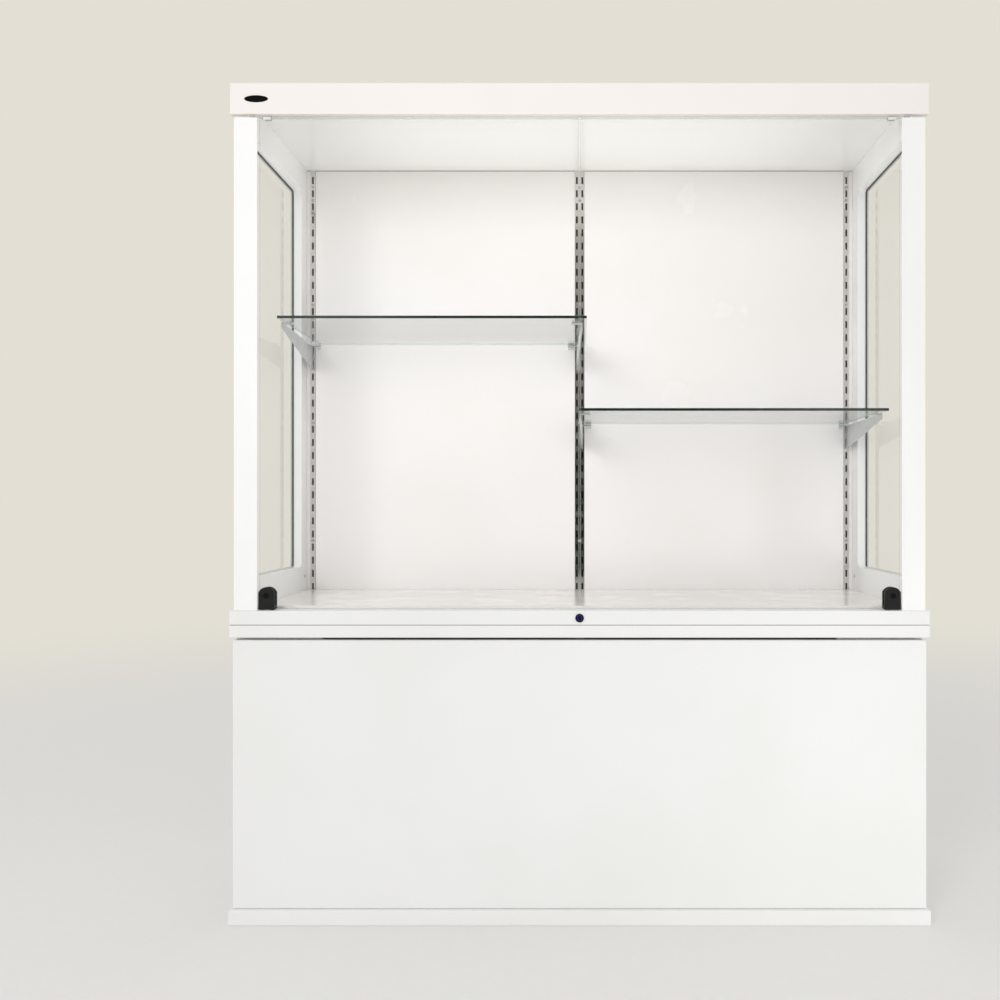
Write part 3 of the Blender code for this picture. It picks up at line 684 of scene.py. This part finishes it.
WHITE = linear(240, 240, 239)
WHITE_CLOUD = linear(236, 236, 234)
BOARD = FacedBoard("white_board", WHITE, WHITE_CLOUD)
# Dark line where the base board sits on the cabinet top: dust and painted shade.
JOINTED_BOARD = FacedBoard("jointed_board", WHITE, WHITE_CLOUD, joint_z=0.64115)
# The header's joint band is painted shade on its underside and lowest edge.
HEADER_BOARD = FacedBoard(
    "header_board",
    linear(246, 241, 238),
    linear(243, 237, 234),
    roughness=0.34,
    joint_z=1.7330,
    joint_half=0.0008,
    joint_dust=linear(234, 228, 220),
)
GLOSS_BOARD = FacedBoard(
    "gloss_board", linear(250, 246, 243), linear(247, 243, 240), roughness=0.16, peel=0.05
)
CEILING_BOARD = FacedBoard(
    "ceiling_board", linear(250, 249, 246), linear(248, 247, 244), roughness=0.16, peel=0.05
)
# Its grooves and its top strip are darkened with painted shade.
BACK_BOARD = GrooveBoard(
    "back_board",
    linear(251, 248, 247),
    linear(249, 245, 243),
    core=(0.020, 0.016, 0.013),
    face_y=0.2085,
    rear_y=0.2195,
    seam_z=1.7638,
)
PAINT = SprayedPaint("frame_paint", linear(248, 248, 247), linear(245, 245, 244))
# The uprights are painted dark inside, as shade behind their slots.
UPRIGHT_STEEL = PlatedSteel(
    "upright_chrome", (0.78, 0.77, 0.76), (0.68, 0.66, 0.64), 0.10, channel_y=0.2073
)
BRACKET_STEEL = PlatedSteel(
    "bracket_zinc", (0.72, 0.74, 0.75), (0.62, 0.64, 0.65), 0.36, draw=(1.0, 0.1, 1.0)
)
SCREW_STEEL = PlatedSteel("screw_steel", (0.66, 0.66, 0.65), (0.50, 0.50, 0.50), 0.22)
SEAL_RUBBER = GlazingSeal(
    "seal_rubber",
    (0.010, 0.008, 0.007),
    (0.016, 0.014, 0.013),
    0.60,
    grain_strength=0.20,
    gloss=0.25,
    wear_sheen=0.10,
)
HINGE_COAT = Moulded(
    "hinge_black", (0.012, 0.012, 0.012), (0.018, 0.018, 0.019), 0.50, grain=1500.0, gloss=0.22
)
CATCH_PLASTIC = Moulded("catch_plastic", (0.03, 0.03, 0.03), (0.05, 0.05, 0.05), 0.50)
CLIP_NYLON = Moulded("clip_nylon", (0.82, 0.82, 0.81), (0.76, 0.76, 0.75), 0.45)
BLOCK_SCREW_COAT = Moulded(
    "block_screw_black", (0.003, 0.003, 0.003), (0.005, 0.005, 0.005), 0.35, gloss=0.12
)
PLATE_BLACK = Moulded(
    "plate_black",
    (0.003, 0.003, 0.003),
    (0.005, 0.005, 0.006),
    0.35,
    grain=700.0,
    grain_strength=0.05,
    gloss=0.06,
)
PAD_SILICONE = ClearPad("pad_silicone", (0.93, 0.94, 0.93))
LOCK_BLACK = LockBlack(
    "lock_black",
    colour=(0.006, 0.006, 0.008),
    ring=linear(72, 58, 190),
    centre_z=0.6565,
    ring_radius=0.0052,
    ring_half_width=0.0005,
)


@dataclass(frozen=True)
class Patch:
    """A grid of points that becomes part of a mesh, its second direction closed if it is round."""

    points: np.ndarray
    round: bool = True

    def faces(self) -> np.ndarray:
        """Return the quads of the grid as rows of four point numbers."""
        rings, sectors = self.points.shape[:2]
        steps = sectors if self.round else sectors - 1
        ring, sector = np.meshgrid(np.arange(rings - 1), np.arange(steps), indexing="ij")
        after = (sector + 1) % sectors
        corners = (
            ring * sectors + sector,
            ring * sectors + after,
            (ring + 1) * sectors + after,
            (ring + 1) * sectors + sector,
        )
        return np.stack(corners, axis=-1).reshape(-1, 4)


def make_piece(name: str, patches: Sequence[Patch]) -> bpy.types.Object:
    """Put patches into one smooth mesh, with seams and poles merged and faces turned outwards.

    Args:
        name: The piece's name.
        patches: The grids.

    Returns:
        The new object, at the origin.
    """
    starts = np.cumsum([0] + [patch.points[..., 0].size for patch in patches])
    points = np.concatenate([patch.points.reshape(-1, 3) for patch in patches])
    faces = np.concatenate([patch.faces() + start for patch, start in zip(patches, starts)])
    mesh = bpy.data.meshes.new(name)
    mesh.from_pydata(points.tolist(), [], faces.tolist())
    shape = bmesh.new()
    shape.from_mesh(mesh)
    bmesh.ops.remove_doubles(shape, verts=shape.verts, dist=MERGE_DISTANCE)
    bmesh.ops.dissolve_degenerate(shape, edges=shape.edges, dist=MERGE_DISTANCE)
    bmesh.ops.recalc_face_normals(shape, faces=shape.faces)
    shape.to_mesh(mesh)
    shape.free()
    mesh.shade_smooth()
    mesh.set_sharp_from_angle(angle=math.radians(SHARP_ANGLE))
    made = bpy.data.objects.new(name, mesh)
    bpy.context.scene.collection.objects.link(made)
    return made


def round_angles(sectors: int) -> np.ndarray:
    """Return angles that divide a full turn evenly, as one row."""
    return np.linspace(0.0, 2.0 * np.pi, sectors, endpoint=False)[None, :]


def seated(
    x: np.ndarray, y: np.ndarray, height: np.ndarray, centre: Point, normal: Point
) -> Patch:
    """Stand a grid of heights on a seat that faces along X or Y.

    A point is the centre plus x across the seat, y up it and the height out of it.

    Args:
        x: Distances across.
        y: Distances up.
        height: Distances out.
        centre: The middle of the seat.
        normal: The direction that the seat faces.

    Returns:
        The patch.
    """
    out = np.array(normal, float)
    up = np.array((0.0, 0.0, 1.0))
    across = np.cross(up, out)
    points = x[..., None] * across + y[..., None] * up + height[..., None] * out
    return Patch(points + np.array(centre))


@dataclass(frozen=True)
class ScrewHead:
    """A round screw head with a driving recess, as one closed surface."""

    radius: float
    height: float
    drive: Drive
    recess_depth: float
    recess_reach: float
    recess_width: float = 0.0
    recess_slope: float = 0.12
    crown: float = 0.8
    rings: int = 14
    sectors: int = 40

    def surface(self, centre: Point, normal: Point) -> Patch:
        """Work out the head's surface.

        The height over a point at radius r is height * sqrt(1 - crown * (r / R)^2), less the
        recess depth where the recess mask is 1. A last ring drops to the seat, and a pole closes
        it underneath.

        Args:
            centre: The middle of the seat.
            normal: The direction that the head faces.

        Returns:
            The closed patch.
        """
        radius = self.radius * np.linspace(0.0, 1.0, self.rings)[:, None]
        turn = round_angles(self.sectors)
        x = radius * np.cos(turn)
        y = radius * np.sin(turn)
        height = self.height * np.sqrt(1.0 - self.crown * (radius / self.radius) ** 2) + 0.0 * turn
        height = height - self.recess_depth * self.recess(x, y)
        x = np.concatenate([x, x[-1:], 0.0 * x[-1:]])
        y = np.concatenate([y, y[-1:], 0.0 * y[-1:]])
        height = np.concatenate([height, 0.0 * height[-2:]])
        return seated(x, y, height, centre, normal)

    def recess(self, x: np.ndarray, y: np.ndarray) -> np.ndarray:
        """Return 1 inside the driving recess and 0 outside, with a short slope between.

        A cross is where the smaller of |x| and |y| is under half the width and the larger is
        under the reach. A hexagon is where the largest of three turned distances is under the
        reach.

        Args:
            x: Distance across the head.
            y: Distance up the head.

        Returns:
            The mask, of the same shape.
        """
        if self.drive is Drive.CROSS:
            near = np.minimum(np.abs(x), np.abs(y)) - self.recess_width / 2
            far = np.maximum(np.abs(x), np.abs(y)) - self.recess_reach
            outside = np.maximum(near, far)
        else:
            turns = np.radians((0.0, 60.0, 120.0))[:, None, None]
            turned = np.abs(x * np.cos(turns) + y * np.sin(turns))
            outside = turned.max(axis=0) - self.recess_reach
        return np.clip(0.5 - outside / (self.recess_slope * self.radius), 0.0, 1.0)


@dataclass(frozen=True)
class OvalPlate:
    """A blank oval plate with a low rim, as one closed surface."""

    half_width: float
    half_height: float
    thickness: float
    rim: float = 0.82
    rim_slope: float = 0.03
    dish: float = 0.12
    roll_power: int = 12
    rings: int = 26
    sectors: int = 72

    def surface(self, centre: Point, normal: Point) -> Patch:
        """Work out the plate's surface.

        At share s of the way out the height is the thickness times sqrt(1 - s^p), which rolls
        off to the seat at the edge, less the dish inside the rim.

        Args:
            centre: The middle of the seat.
            normal: The direction that the plate faces.

        Returns:
            The closed patch.
        """
        share = np.sin(np.linspace(0.0, np.pi / 2, self.rings))[:, None]
        turn = round_angles(self.sectors)
        inner = self.dish * np.clip((self.rim - share) / self.rim_slope + 0.5, 0.0, 1.0)
        roll = np.sqrt(np.clip(1.0 - share**self.roll_power, 0.0, 1.0))
        height = self.thickness * (roll - inner) + 0.0 * turn
        x = self.half_width * share * np.cos(turn)
        y = self.half_height * share * np.sin(turn)
        x = np.concatenate([x, 0.0 * x[-1:]])
        y = np.concatenate([y, 0.0 * y[-1:]])
        height = np.concatenate([height, 0.0 * height[-1:]])
        return seated(x, y, height, centre, normal)


def swept_section(section: np.ndarray, start_x: float, end_x: float) -> Patch:
    """Carry a closed section of (y, z) points along X, and close both ends at their middles.

    Args:
        section: The outline, as rows of y and z.
        start_x: Where the sweep starts.
        end_x: Where the sweep ends.

    Returns:
        The closed patch.
    """
    middle = np.repeat(section.mean(axis=0)[None, :], len(section), axis=0)
    outline = np.stack([middle, section, section, middle])
    stations = np.array((start_x, start_x, end_x, end_x))[:, None, None]
    return Patch(np.concatenate([stations + 0.0 * outline[..., :1], outline], axis=-1))


@dataclass(frozen=True)
class Lump:
    """A small block with rounded edges, as a superellipsoid."""

    centre: Point
    half: Point
    power: float = 0.25
    rings: int = 25
    sectors: int = 48

    def surface(self) -> Patch:
        """Work out the block's surface.

        With c and s standing for cosine and sine raised to the power with their signs kept, a
        point is (a c(v) c(u), b c(v) s(u), h s(v)), where v runs from pole to pole and u right
        round.

        Returns:
            The closed patch.
        """

        def kept(values: np.ndarray) -> np.ndarray:
            """Raise values to the power, and keep their signs."""
            return np.sign(values) * np.abs(values) ** self.power

        rise = np.linspace(-np.pi / 2, np.pi / 2, self.rings)[:, None]
        turn = round_angles(self.sectors)
        flat = kept(np.round(np.cos(rise), COSINE_DIGITS))
        x = self.half[0] * flat * kept(np.round(np.cos(turn), COSINE_DIGITS))
        y = self.half[1] * flat * kept(np.round(np.sin(turn), COSINE_DIGITS))
        z = self.half[2] * kept(np.sin(rise)) + 0.0 * turn
        return Patch(np.stack([x, y, z], axis=-1) + np.array(self.centre))


PAN_SCREW = ScrewHead(
    0.0040, 0.0014, Drive.CROSS, recess_depth=0.0009, recess_reach=0.0022, recess_width=0.0010
)
COVER_SCREW = ScrewHead(
    0.0045, 0.0012, Drive.CROSS, recess_depth=0.0008, recess_reach=0.0024, recess_width=0.0011
)
BLOCK_SCREW = ScrewHead(
    0.0060, 0.0009, Drive.HEX, recess_depth=0.0007, recess_reach=0.0030, crown=0.3
)


class Dresser:
    """Gives finishes to nodes and new pieces, and logs each of them."""

    def __init__(self, nodes: Dict[str, bpy.types.Object]) -> None:
        """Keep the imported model's nodes, and the materials made so far."""
        self.nodes = nodes
        self.made: Dict[str, bpy.types.Material] = {}

    def material(self, finish: Finish) -> bpy.types.Material:
        """Return a finish's material, made once."""
        if finish.name not in self.made:
            self.made[finish.name] = finish.build()
        return self.made[finish.name]

    def node(self, name: str, finish: Finish) -> None:
        """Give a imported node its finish.

        Args:
            name: The node's name.
            finish: The finish to build.
        """
        mesh = self.nodes[name].data
        mesh.materials.clear()
        mesh.materials.append(self.material(finish))
        LOG.info("dressed %s in %s", name, finish.name)

    def pair(self, stem: str, finish: Finish) -> None:
        """Give the left and the right node of a stem their finish."""
        for side in Side:
            self.node(f"{stem}_{side.label}", finish)

    def piece(self, made: bpy.types.Object, finish: Finish, body: str) -> None:
        """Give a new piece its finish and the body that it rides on.

        Args:
            made: The new piece.
            finish: The finish to build.
            body: The body's name.
        """
        made.data.materials.append(self.material(finish))
        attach(made, body)
        LOG.info("made %s on %s", made.name, body)


class SubAssembly:
    """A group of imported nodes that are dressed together, with the small pieces it adds."""

    def build(self, dresser: Dresser) -> None:
        """Make the group's new pieces, where it has any."""

    def dress(self, dresser: Dresser) -> None:
        """Give the group's nodes their finishes."""
        raise NotImplementedError


@dataclass
class BaseCabinet(SubAssembly):
    """The white base cabinet, with screws in its thin back."""

    back_screw_x: Tuple[float, ...] = (-0.715, -0.36, 0.0, 0.36, 0.715)
    back_screw_z: Tuple[float, ...] = (0.060, 0.320, 0.590)
    back_y: float = 0.225

    def build(self, dresser: Dresser) -> None:
        """Make the screws that hold the thin back to the carcass."""
        spots = [(x, self.back_y, z) for x in self.back_screw_x for z in self.back_screw_z]
        heads = [COVER_SCREW.surface(spot, REAR) for spot in spots]
        screws = make_piece("cabinet_back_screws", heads)
        dresser.piece(screws, SCREW_STEEL, "case")

    def dress(self, dresser: Dresser) -> None:
        """Give the boards, battens, catches and strikes their finishes."""
        for name in ("plinth", "cabinet_back", "cabinet_partition", "access_panel"):
            dresser.node(name, BOARD)
        dresser.node("cabinet_top", JOINTED_BOARD)
        dresser.pair("cabinet_side", BOARD)
        dresser.pair("batten", BOARD)
        dresser.pair("catch", CATCH_PLASTIC)
        dresser.pair("strike", BRACKET_STEEL)


@dataclass
class CaseShell(SubAssembly):
    """The case floor, deck, roof and header, with a blank oval plate and two post plates."""

    plate_centre: Point = (-0.691, -0.222, 1.7655)
    plate: OvalPlate = OvalPlate(half_width=0.0255, half_height=0.0075, thickness=0.0012)
    head_plate_centre: Point = (0.700, -0.2190, 1.7276)
    head_plate_half: Point = (0.0062, 0.0026, 0.0019)

    def build(self, dresser: Dresser) -> None:
        """Make a steel plate on the head of each post, and the header's blank plate."""
        for side in Side:
            centre = (side.sign * self.head_plate_centre[0], *self.head_plate_centre[1:])
            block = Lump(centre, self.head_plate_half).surface()
            plate = make_piece(f"head_plate_{side.label}", [block])
            dresser.piece(plate, SCREW_STEEL, "case")
        oval = make_piece("header_plate", [self.plate.surface(self.plate_centre, FRONT)])
        dresser.piece(oval, PLATE_BLACK, "case")

    def dress(self, dresser: Dresser) -> None:
        """Give the boards their finishes."""
        dresser.node("base_board", JOINTED_BOARD)
        for name in ("header_front", "header_left", "header_right"):
            dresser.node(name, HEADER_BOARD)
        dresser.node("deck", GLOSS_BOARD)
        dresser.node("roof", CEILING_BOARD)


def pane(node: str, kind: Glazing, thin: Axis) -> PaneGlass:
    """Return the glass finish for one pane, fitted to the node's box.

    Args:
        node: The pane's node name, used for the finish too.
        kind: Which pane it is.
        thin: The direction that the pane is thin in.

    Returns:
        The finish.
    """
    low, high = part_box(node)
    return PaneGlass(f"glass_{node}", kind, thin, tuple(low), tuple(high))


@dataclass
class SideFrames(SubAssembly):
    """The white side frames with seals and panes, rounded window corners and a cover screw."""

    inner_x: float = 0.709
    seal_x: float = 0.7290
    window_y: Tuple[float, float] = (-0.172, 0.163)
    window_z: Tuple[float, float] = (0.7383, 1.6987)
    corner_radius: float = 0.009
    corner_steps: int = 12
    screw_place: Tuple[float, float] = (0.190, 0.714)

    def corner(self, y: float, z: float, into_y: float, into_z: float) -> np.ndarray:
        """Work out a rounded corner's section: its point and a quarter circle that cuts it off.

        The circle's middle lies one radius in from both edges, and the angle runs a quarter turn.

        Args:
            y: The corner's place along the depth.
            z: The corner's height.
            into_y: Sign of the way into the window along the depth.
            into_z: Sign of the way into the window in height.

        Returns:
            The outline, as rows of y and z.
        """
        turn = np.linspace(0.0, np.pi / 2, self.corner_steps)
        arc_y = y + into_y * self.corner_radius * (1.0 - np.sin(turn))
        arc_z = z + into_z * self.corner_radius * (1.0 - np.cos(turn))
        arc = np.stack([arc_y, arc_z], axis=-1)
        return np.concatenate([np.array([(y, z)]), arc])

    def build(self, dresser: Dresser) -> None:
        """Make the window corners and the cover screws of both sides."""
        inwards = (1.0, -1.0)
        sections = [
            self.corner(y, z, into_y, into_z)
            for y, into_y in zip(self.window_y, inwards)
            for z, into_z in zip(self.window_z, inwards)
        ]
        for side in Side:
            span = (side.sign * self.inner_x, side.sign * self.seal_x)
            patches = [swept_section(section, *span) for section in sections]
            corners = make_piece(f"window_corners_{side.label}", patches)
            dresser.piece(corners, PAINT, "case")
            seat = (side.sign * self.inner_x, *self.screw_place)
            head = COVER_SCREW.surface(seat, (-side.sign, 0.0, 0.0))
            screw = make_piece(f"side_screw_{side.label}", [head])
            dresser.piece(screw, SCREW_STEEL, "case")

    def dress(self, dresser: Dresser) -> None:
        """Give the frames, seals and panes their finishes."""
        for stem in ("front_post", "bottom_rail", "top_rail", "rear_stile"):
            dresser.pair(stem, PAINT)
        dresser.pair("side_seal", SEAL_RUBBER)
        for side in Side:
            name = f"side_glass_{side.label}"
            dresser.node(name, pane(name, Glazing.SIDE, Axis.X))


@dataclass
class BackWall(SubAssembly):
    """The back panel and three slotted uprights, with the screws that hold the uprights."""

    face_y: float = 0.207
    labels: Tuple[str, ...] = ("left", "centre", "right")
    upright_x: Tuple[float, ...] = (-0.6927, 0.0, 0.6927)
    first_screw_z: float = 1.723
    slot_pitch: float = 0.034
    screw_lands: Tuple[int, ...] = (0, 1, 9, 18, 27)

    def build(self, dresser: Dresser) -> None:
        """Make five screw heads on the lands between the slots of each upright."""
        levels = [self.first_screw_z - self.slot_pitch * land for land in self.screw_lands]
        for label, x in zip(self.labels, self.upright_x):
            heads = [PAN_SCREW.surface((x, self.face_y, z), FRONT) for z in levels]
            screws = make_piece(f"upright_screws_{label}", heads)
            dresser.piece(screws, SCREW_STEEL, "case")

    def dress(self, dresser: Dresser) -> None:
        """Give the panel and the uprights their finishes."""
        dresser.node("back_panel", BACK_BOARD)
        for label in self.labels:
            dresser.node(f"upright_{label}", UPRIGHT_STEEL)


@dataclass
class Doors(SubAssembly):
    """Both glass doors with their pivot blocks, block screws and top clips."""

    pivot_x: float = 0.67075
    block_face_y: float = -0.219
    block_screw_z: float = 0.7035

    def build(self, dresser: Dresser) -> None:
        """Make the socket screw in the front of each pivot block."""
        for side in Side:
            seat = (side.sign * self.pivot_x, self.block_face_y, self.block_screw_z)
            screw = make_piece(f"block_screw_{side.label}", [BLOCK_SCREW.surface(seat, FRONT)])
            dresser.piece(screw, BLOCK_SCREW_COAT, f"{side.label}_door")

    def dress(self, dresser: Dresser) -> None:
        """Give the panes, blocks, clips and pins their finishes."""
        for side in Side:
            glass = f"door_glass_{side.label}"
            dresser.node(glass, pane(glass, Glazing.DOOR, Axis.Y))
        dresser.pair("hinge_block", HINGE_COAT)
        dresser.pair("top_clip", CLIP_NYLON)
        dresser.pair("pivot_pin", BRACKET_STEEL)


class Shelving(SubAssembly):
    """Both glass shelves with their brackets and pads."""

    def dress(self, dresser: Dresser) -> None:
        """Give the shelves, brackets and pads their finishes."""
        for side in Side:
            shelf = f"shelf_{side.label}"
            dresser.node(shelf, pane(shelf, Glazing.SHELF, Axis.Z))
            for end in ("outer", "inner"):
                dresser.node(f"bracket_{side.label}_{end}", BRACKET_STEEL)
                for place in ("front", "rear"):
                    dresser.node(f"pad_{side.label}_{end}_{place}", PAD_SILICONE)


class CamLock(SubAssembly):
    """The cam lock in the front edge of the case floor."""

    def dress(self, dresser: Dresser) -> None:
        """Give the barrel, plug and cam their finishes."""
        dresser.node("lock_barrel", LOCK_BLACK)
        dresser.node("lock_plug", LOCK_BLACK)
        dresser.node("lock_cam", BRACKET_STEEL)


@dataclass(frozen=True)
class Lamp:
    """A soft rectangular lamp, its power in watts and its spread in degrees."""

    name: str
    place: Point
    target: Point
    size: Tuple[float, float]
    power: float
    spread: float = 180.0

    def build(self) -> None:
        """Make the lamp, turned to its target and unseen by the camera and by gloss."""
        data = bpy.data.lights.new(self.name, "AREA")
        data.shape = "RECTANGLE"
        data.size, data.size_y = self.size
        data.energy = self.power
        data.spread = math.radians(self.spread)
        made = bpy.data.objects.new(self.name, data)
        made.location = self.place
        aim = Vector(self.target) - Vector(self.place)
        made.rotation_euler = aim.to_track_quat("-Z", "Y").to_euler()
        made.visible_camera = False
        made.visible_glossy = False
        bpy.context.scene.collection.objects.link(made)


LAMPS = (
    Lamp("key", (-1.6, -3.7, 2.15), (0.0, 0.0, 1.1), size=(1.2, 1.2), power=36.5),
    Lamp(
        "ceiling_fill",
        (0.0, -0.42, 0.72),
        (0.0, 0.06, 1.77),
        size=(1.0, 0.3),
        power=0.86,
        spread=84.0,
    ),
    Lamp("bay_fill", (-0.26, -0.218, 1.080), (-0.26, 0.2, 1.080), size=(0.8, 0.72), power=0.32),
    Lamp(
        "low_fill",
        (1.7, -2.4, 0.25),
        (0.65, -0.2, 0.25),
        size=(0.6, 0.6),
        power=0.9,
        spread=46.0,
    ),
    *(
        Lamp(
            f"{side.label}_side",
            (side.sign * 4.5, -0.2, 0.45),
            (-side.sign * 0.72, -0.05, 1.60),
            size=(0.8, 0.8),
            power=2.1,
            spread=40.0,
        )
        for side in Side
    ),
)


@dataclass
class Studio:
    """The camera, the soft lamps, the world, a glowing card behind the camera for painted
    reflections, and the pale floor.
    """

    camera_place: Point = (0.0, -2.206, 0.900)
    lens: float = 33.44
    sensor: float = 36.0
    shift: Tuple[float, float] = (-0.0796, 0.004)
    backdrop: Colour = linear(227, 223, 212)
    world_strength: float = 0.80
    floor_colour: Colour = linear(236, 235, 233)
    floor_radius: float = 16.0
    floor_rings: int = 24
    floor_sectors: int = 96
    card_y: float = -5.0
    card_half_width: float = 4.0
    card_height: float = 5.0
    card_steps: int = 9

    def build(self) -> None:
        """Make the whole studio."""
        self.add_camera()
        for lamp in LAMPS:
            lamp.build()
        self.add_world()
        self.add_card()
        self.add_floor()
        bpy.context.scene.view_settings.view_transform = "Standard"

    def add_camera(self) -> None:
        """Make the level camera in front of the case."""
        data = bpy.data.cameras.new("camera")
        data.lens = self.lens
        data.sensor_width = self.sensor
        data.shift_x, data.shift_y = self.shift
        made = bpy.data.objects.new("camera", data)
        made.location = self.camera_place
        made.rotation_euler = (math.pi / 2, 0.0, 0.0)
        bpy.context.scene.collection.objects.link(made)
        bpy.context.scene.camera = made

    def add_world(self) -> None:
        """Make an even white sky, which straight rays see as the pale backdrop."""
        world = bpy.data.worlds.new("world")
        world.use_nodes = True
        bpy.context.scene.world = world
        recipe = Recipe(world.node_tree)
        light = recipe.sky((1.0, 1.0, 1.0), self.world_strength)
        seen = recipe.sky(self.backdrop, 1.0)
        sky = recipe.mix_shaders(recipe.straight_rays(), light, seen)
        recipe.close(sky, "ShaderNodeOutputWorld")

    def add_card(self) -> None:
        """Make the glowing card behind the camera that paints reflections into bright metal.

        A point of the card is (w u, y, h v), with u from -1 to 1 and v from 0 to 1. Only gloss
        rays see it.
        """
        across = np.linspace(-1.0, 1.0, self.card_steps)[None, :]
        up = np.linspace(0.0, 1.0, self.card_steps)[:, None]
        x = self.card_half_width * across + 0.0 * up
        z = self.card_height * up + 0.0 * across
        points = np.stack([x, self.card_y + 0.0 * x, z], axis=-1)
        reflection_card = make_piece("reflection_card", [Patch(points, round=False)])
        reflection_card.data.materials.append(DarkCard("reflection_card").build())
        reflection_card.visible_camera = False
        reflection_card.visible_diffuse = False
        reflection_card.visible_transmission = False
        reflection_card.visible_shadow = False

    def add_floor(self) -> None:
        """Make the round floor.

        A point of it is (r cos u, r sin u, 0), with r growing as the square of the share of the
        way out.
        """
        share = np.linspace(0.0, 1.0, self.floor_rings)[:, None] ** 2
        turn = round_angles(self.floor_sectors)
        x = self.floor_radius * share * np.cos(turn)
        y = self.floor_radius * share * np.sin(turn)
        floor = make_piece("floor", [Patch(np.stack([x, y, 0.0 * x], axis=-1))])
        finish = PaleFloor("floor", self.floor_colour, self.backdrop)
        floor.data.materials.append(finish.build())


def main() -> None:
    """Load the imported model, dress it, add the small pieces and set up the studio."""
    logging.basicConfig(level=logging.INFO, format="%(name)s: %(message)s")
    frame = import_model()
    dresser = Dresser(frame["nodes"])
    groups = (BaseCabinet, CaseShell, SideFrames, BackWall, Doors, Shelving, CamLock)
    for group in groups:
        part = group()
        part.build(dresser)
        part.dress(dresser)
    Studio().build()


if __name__ == "__main__":
    main()
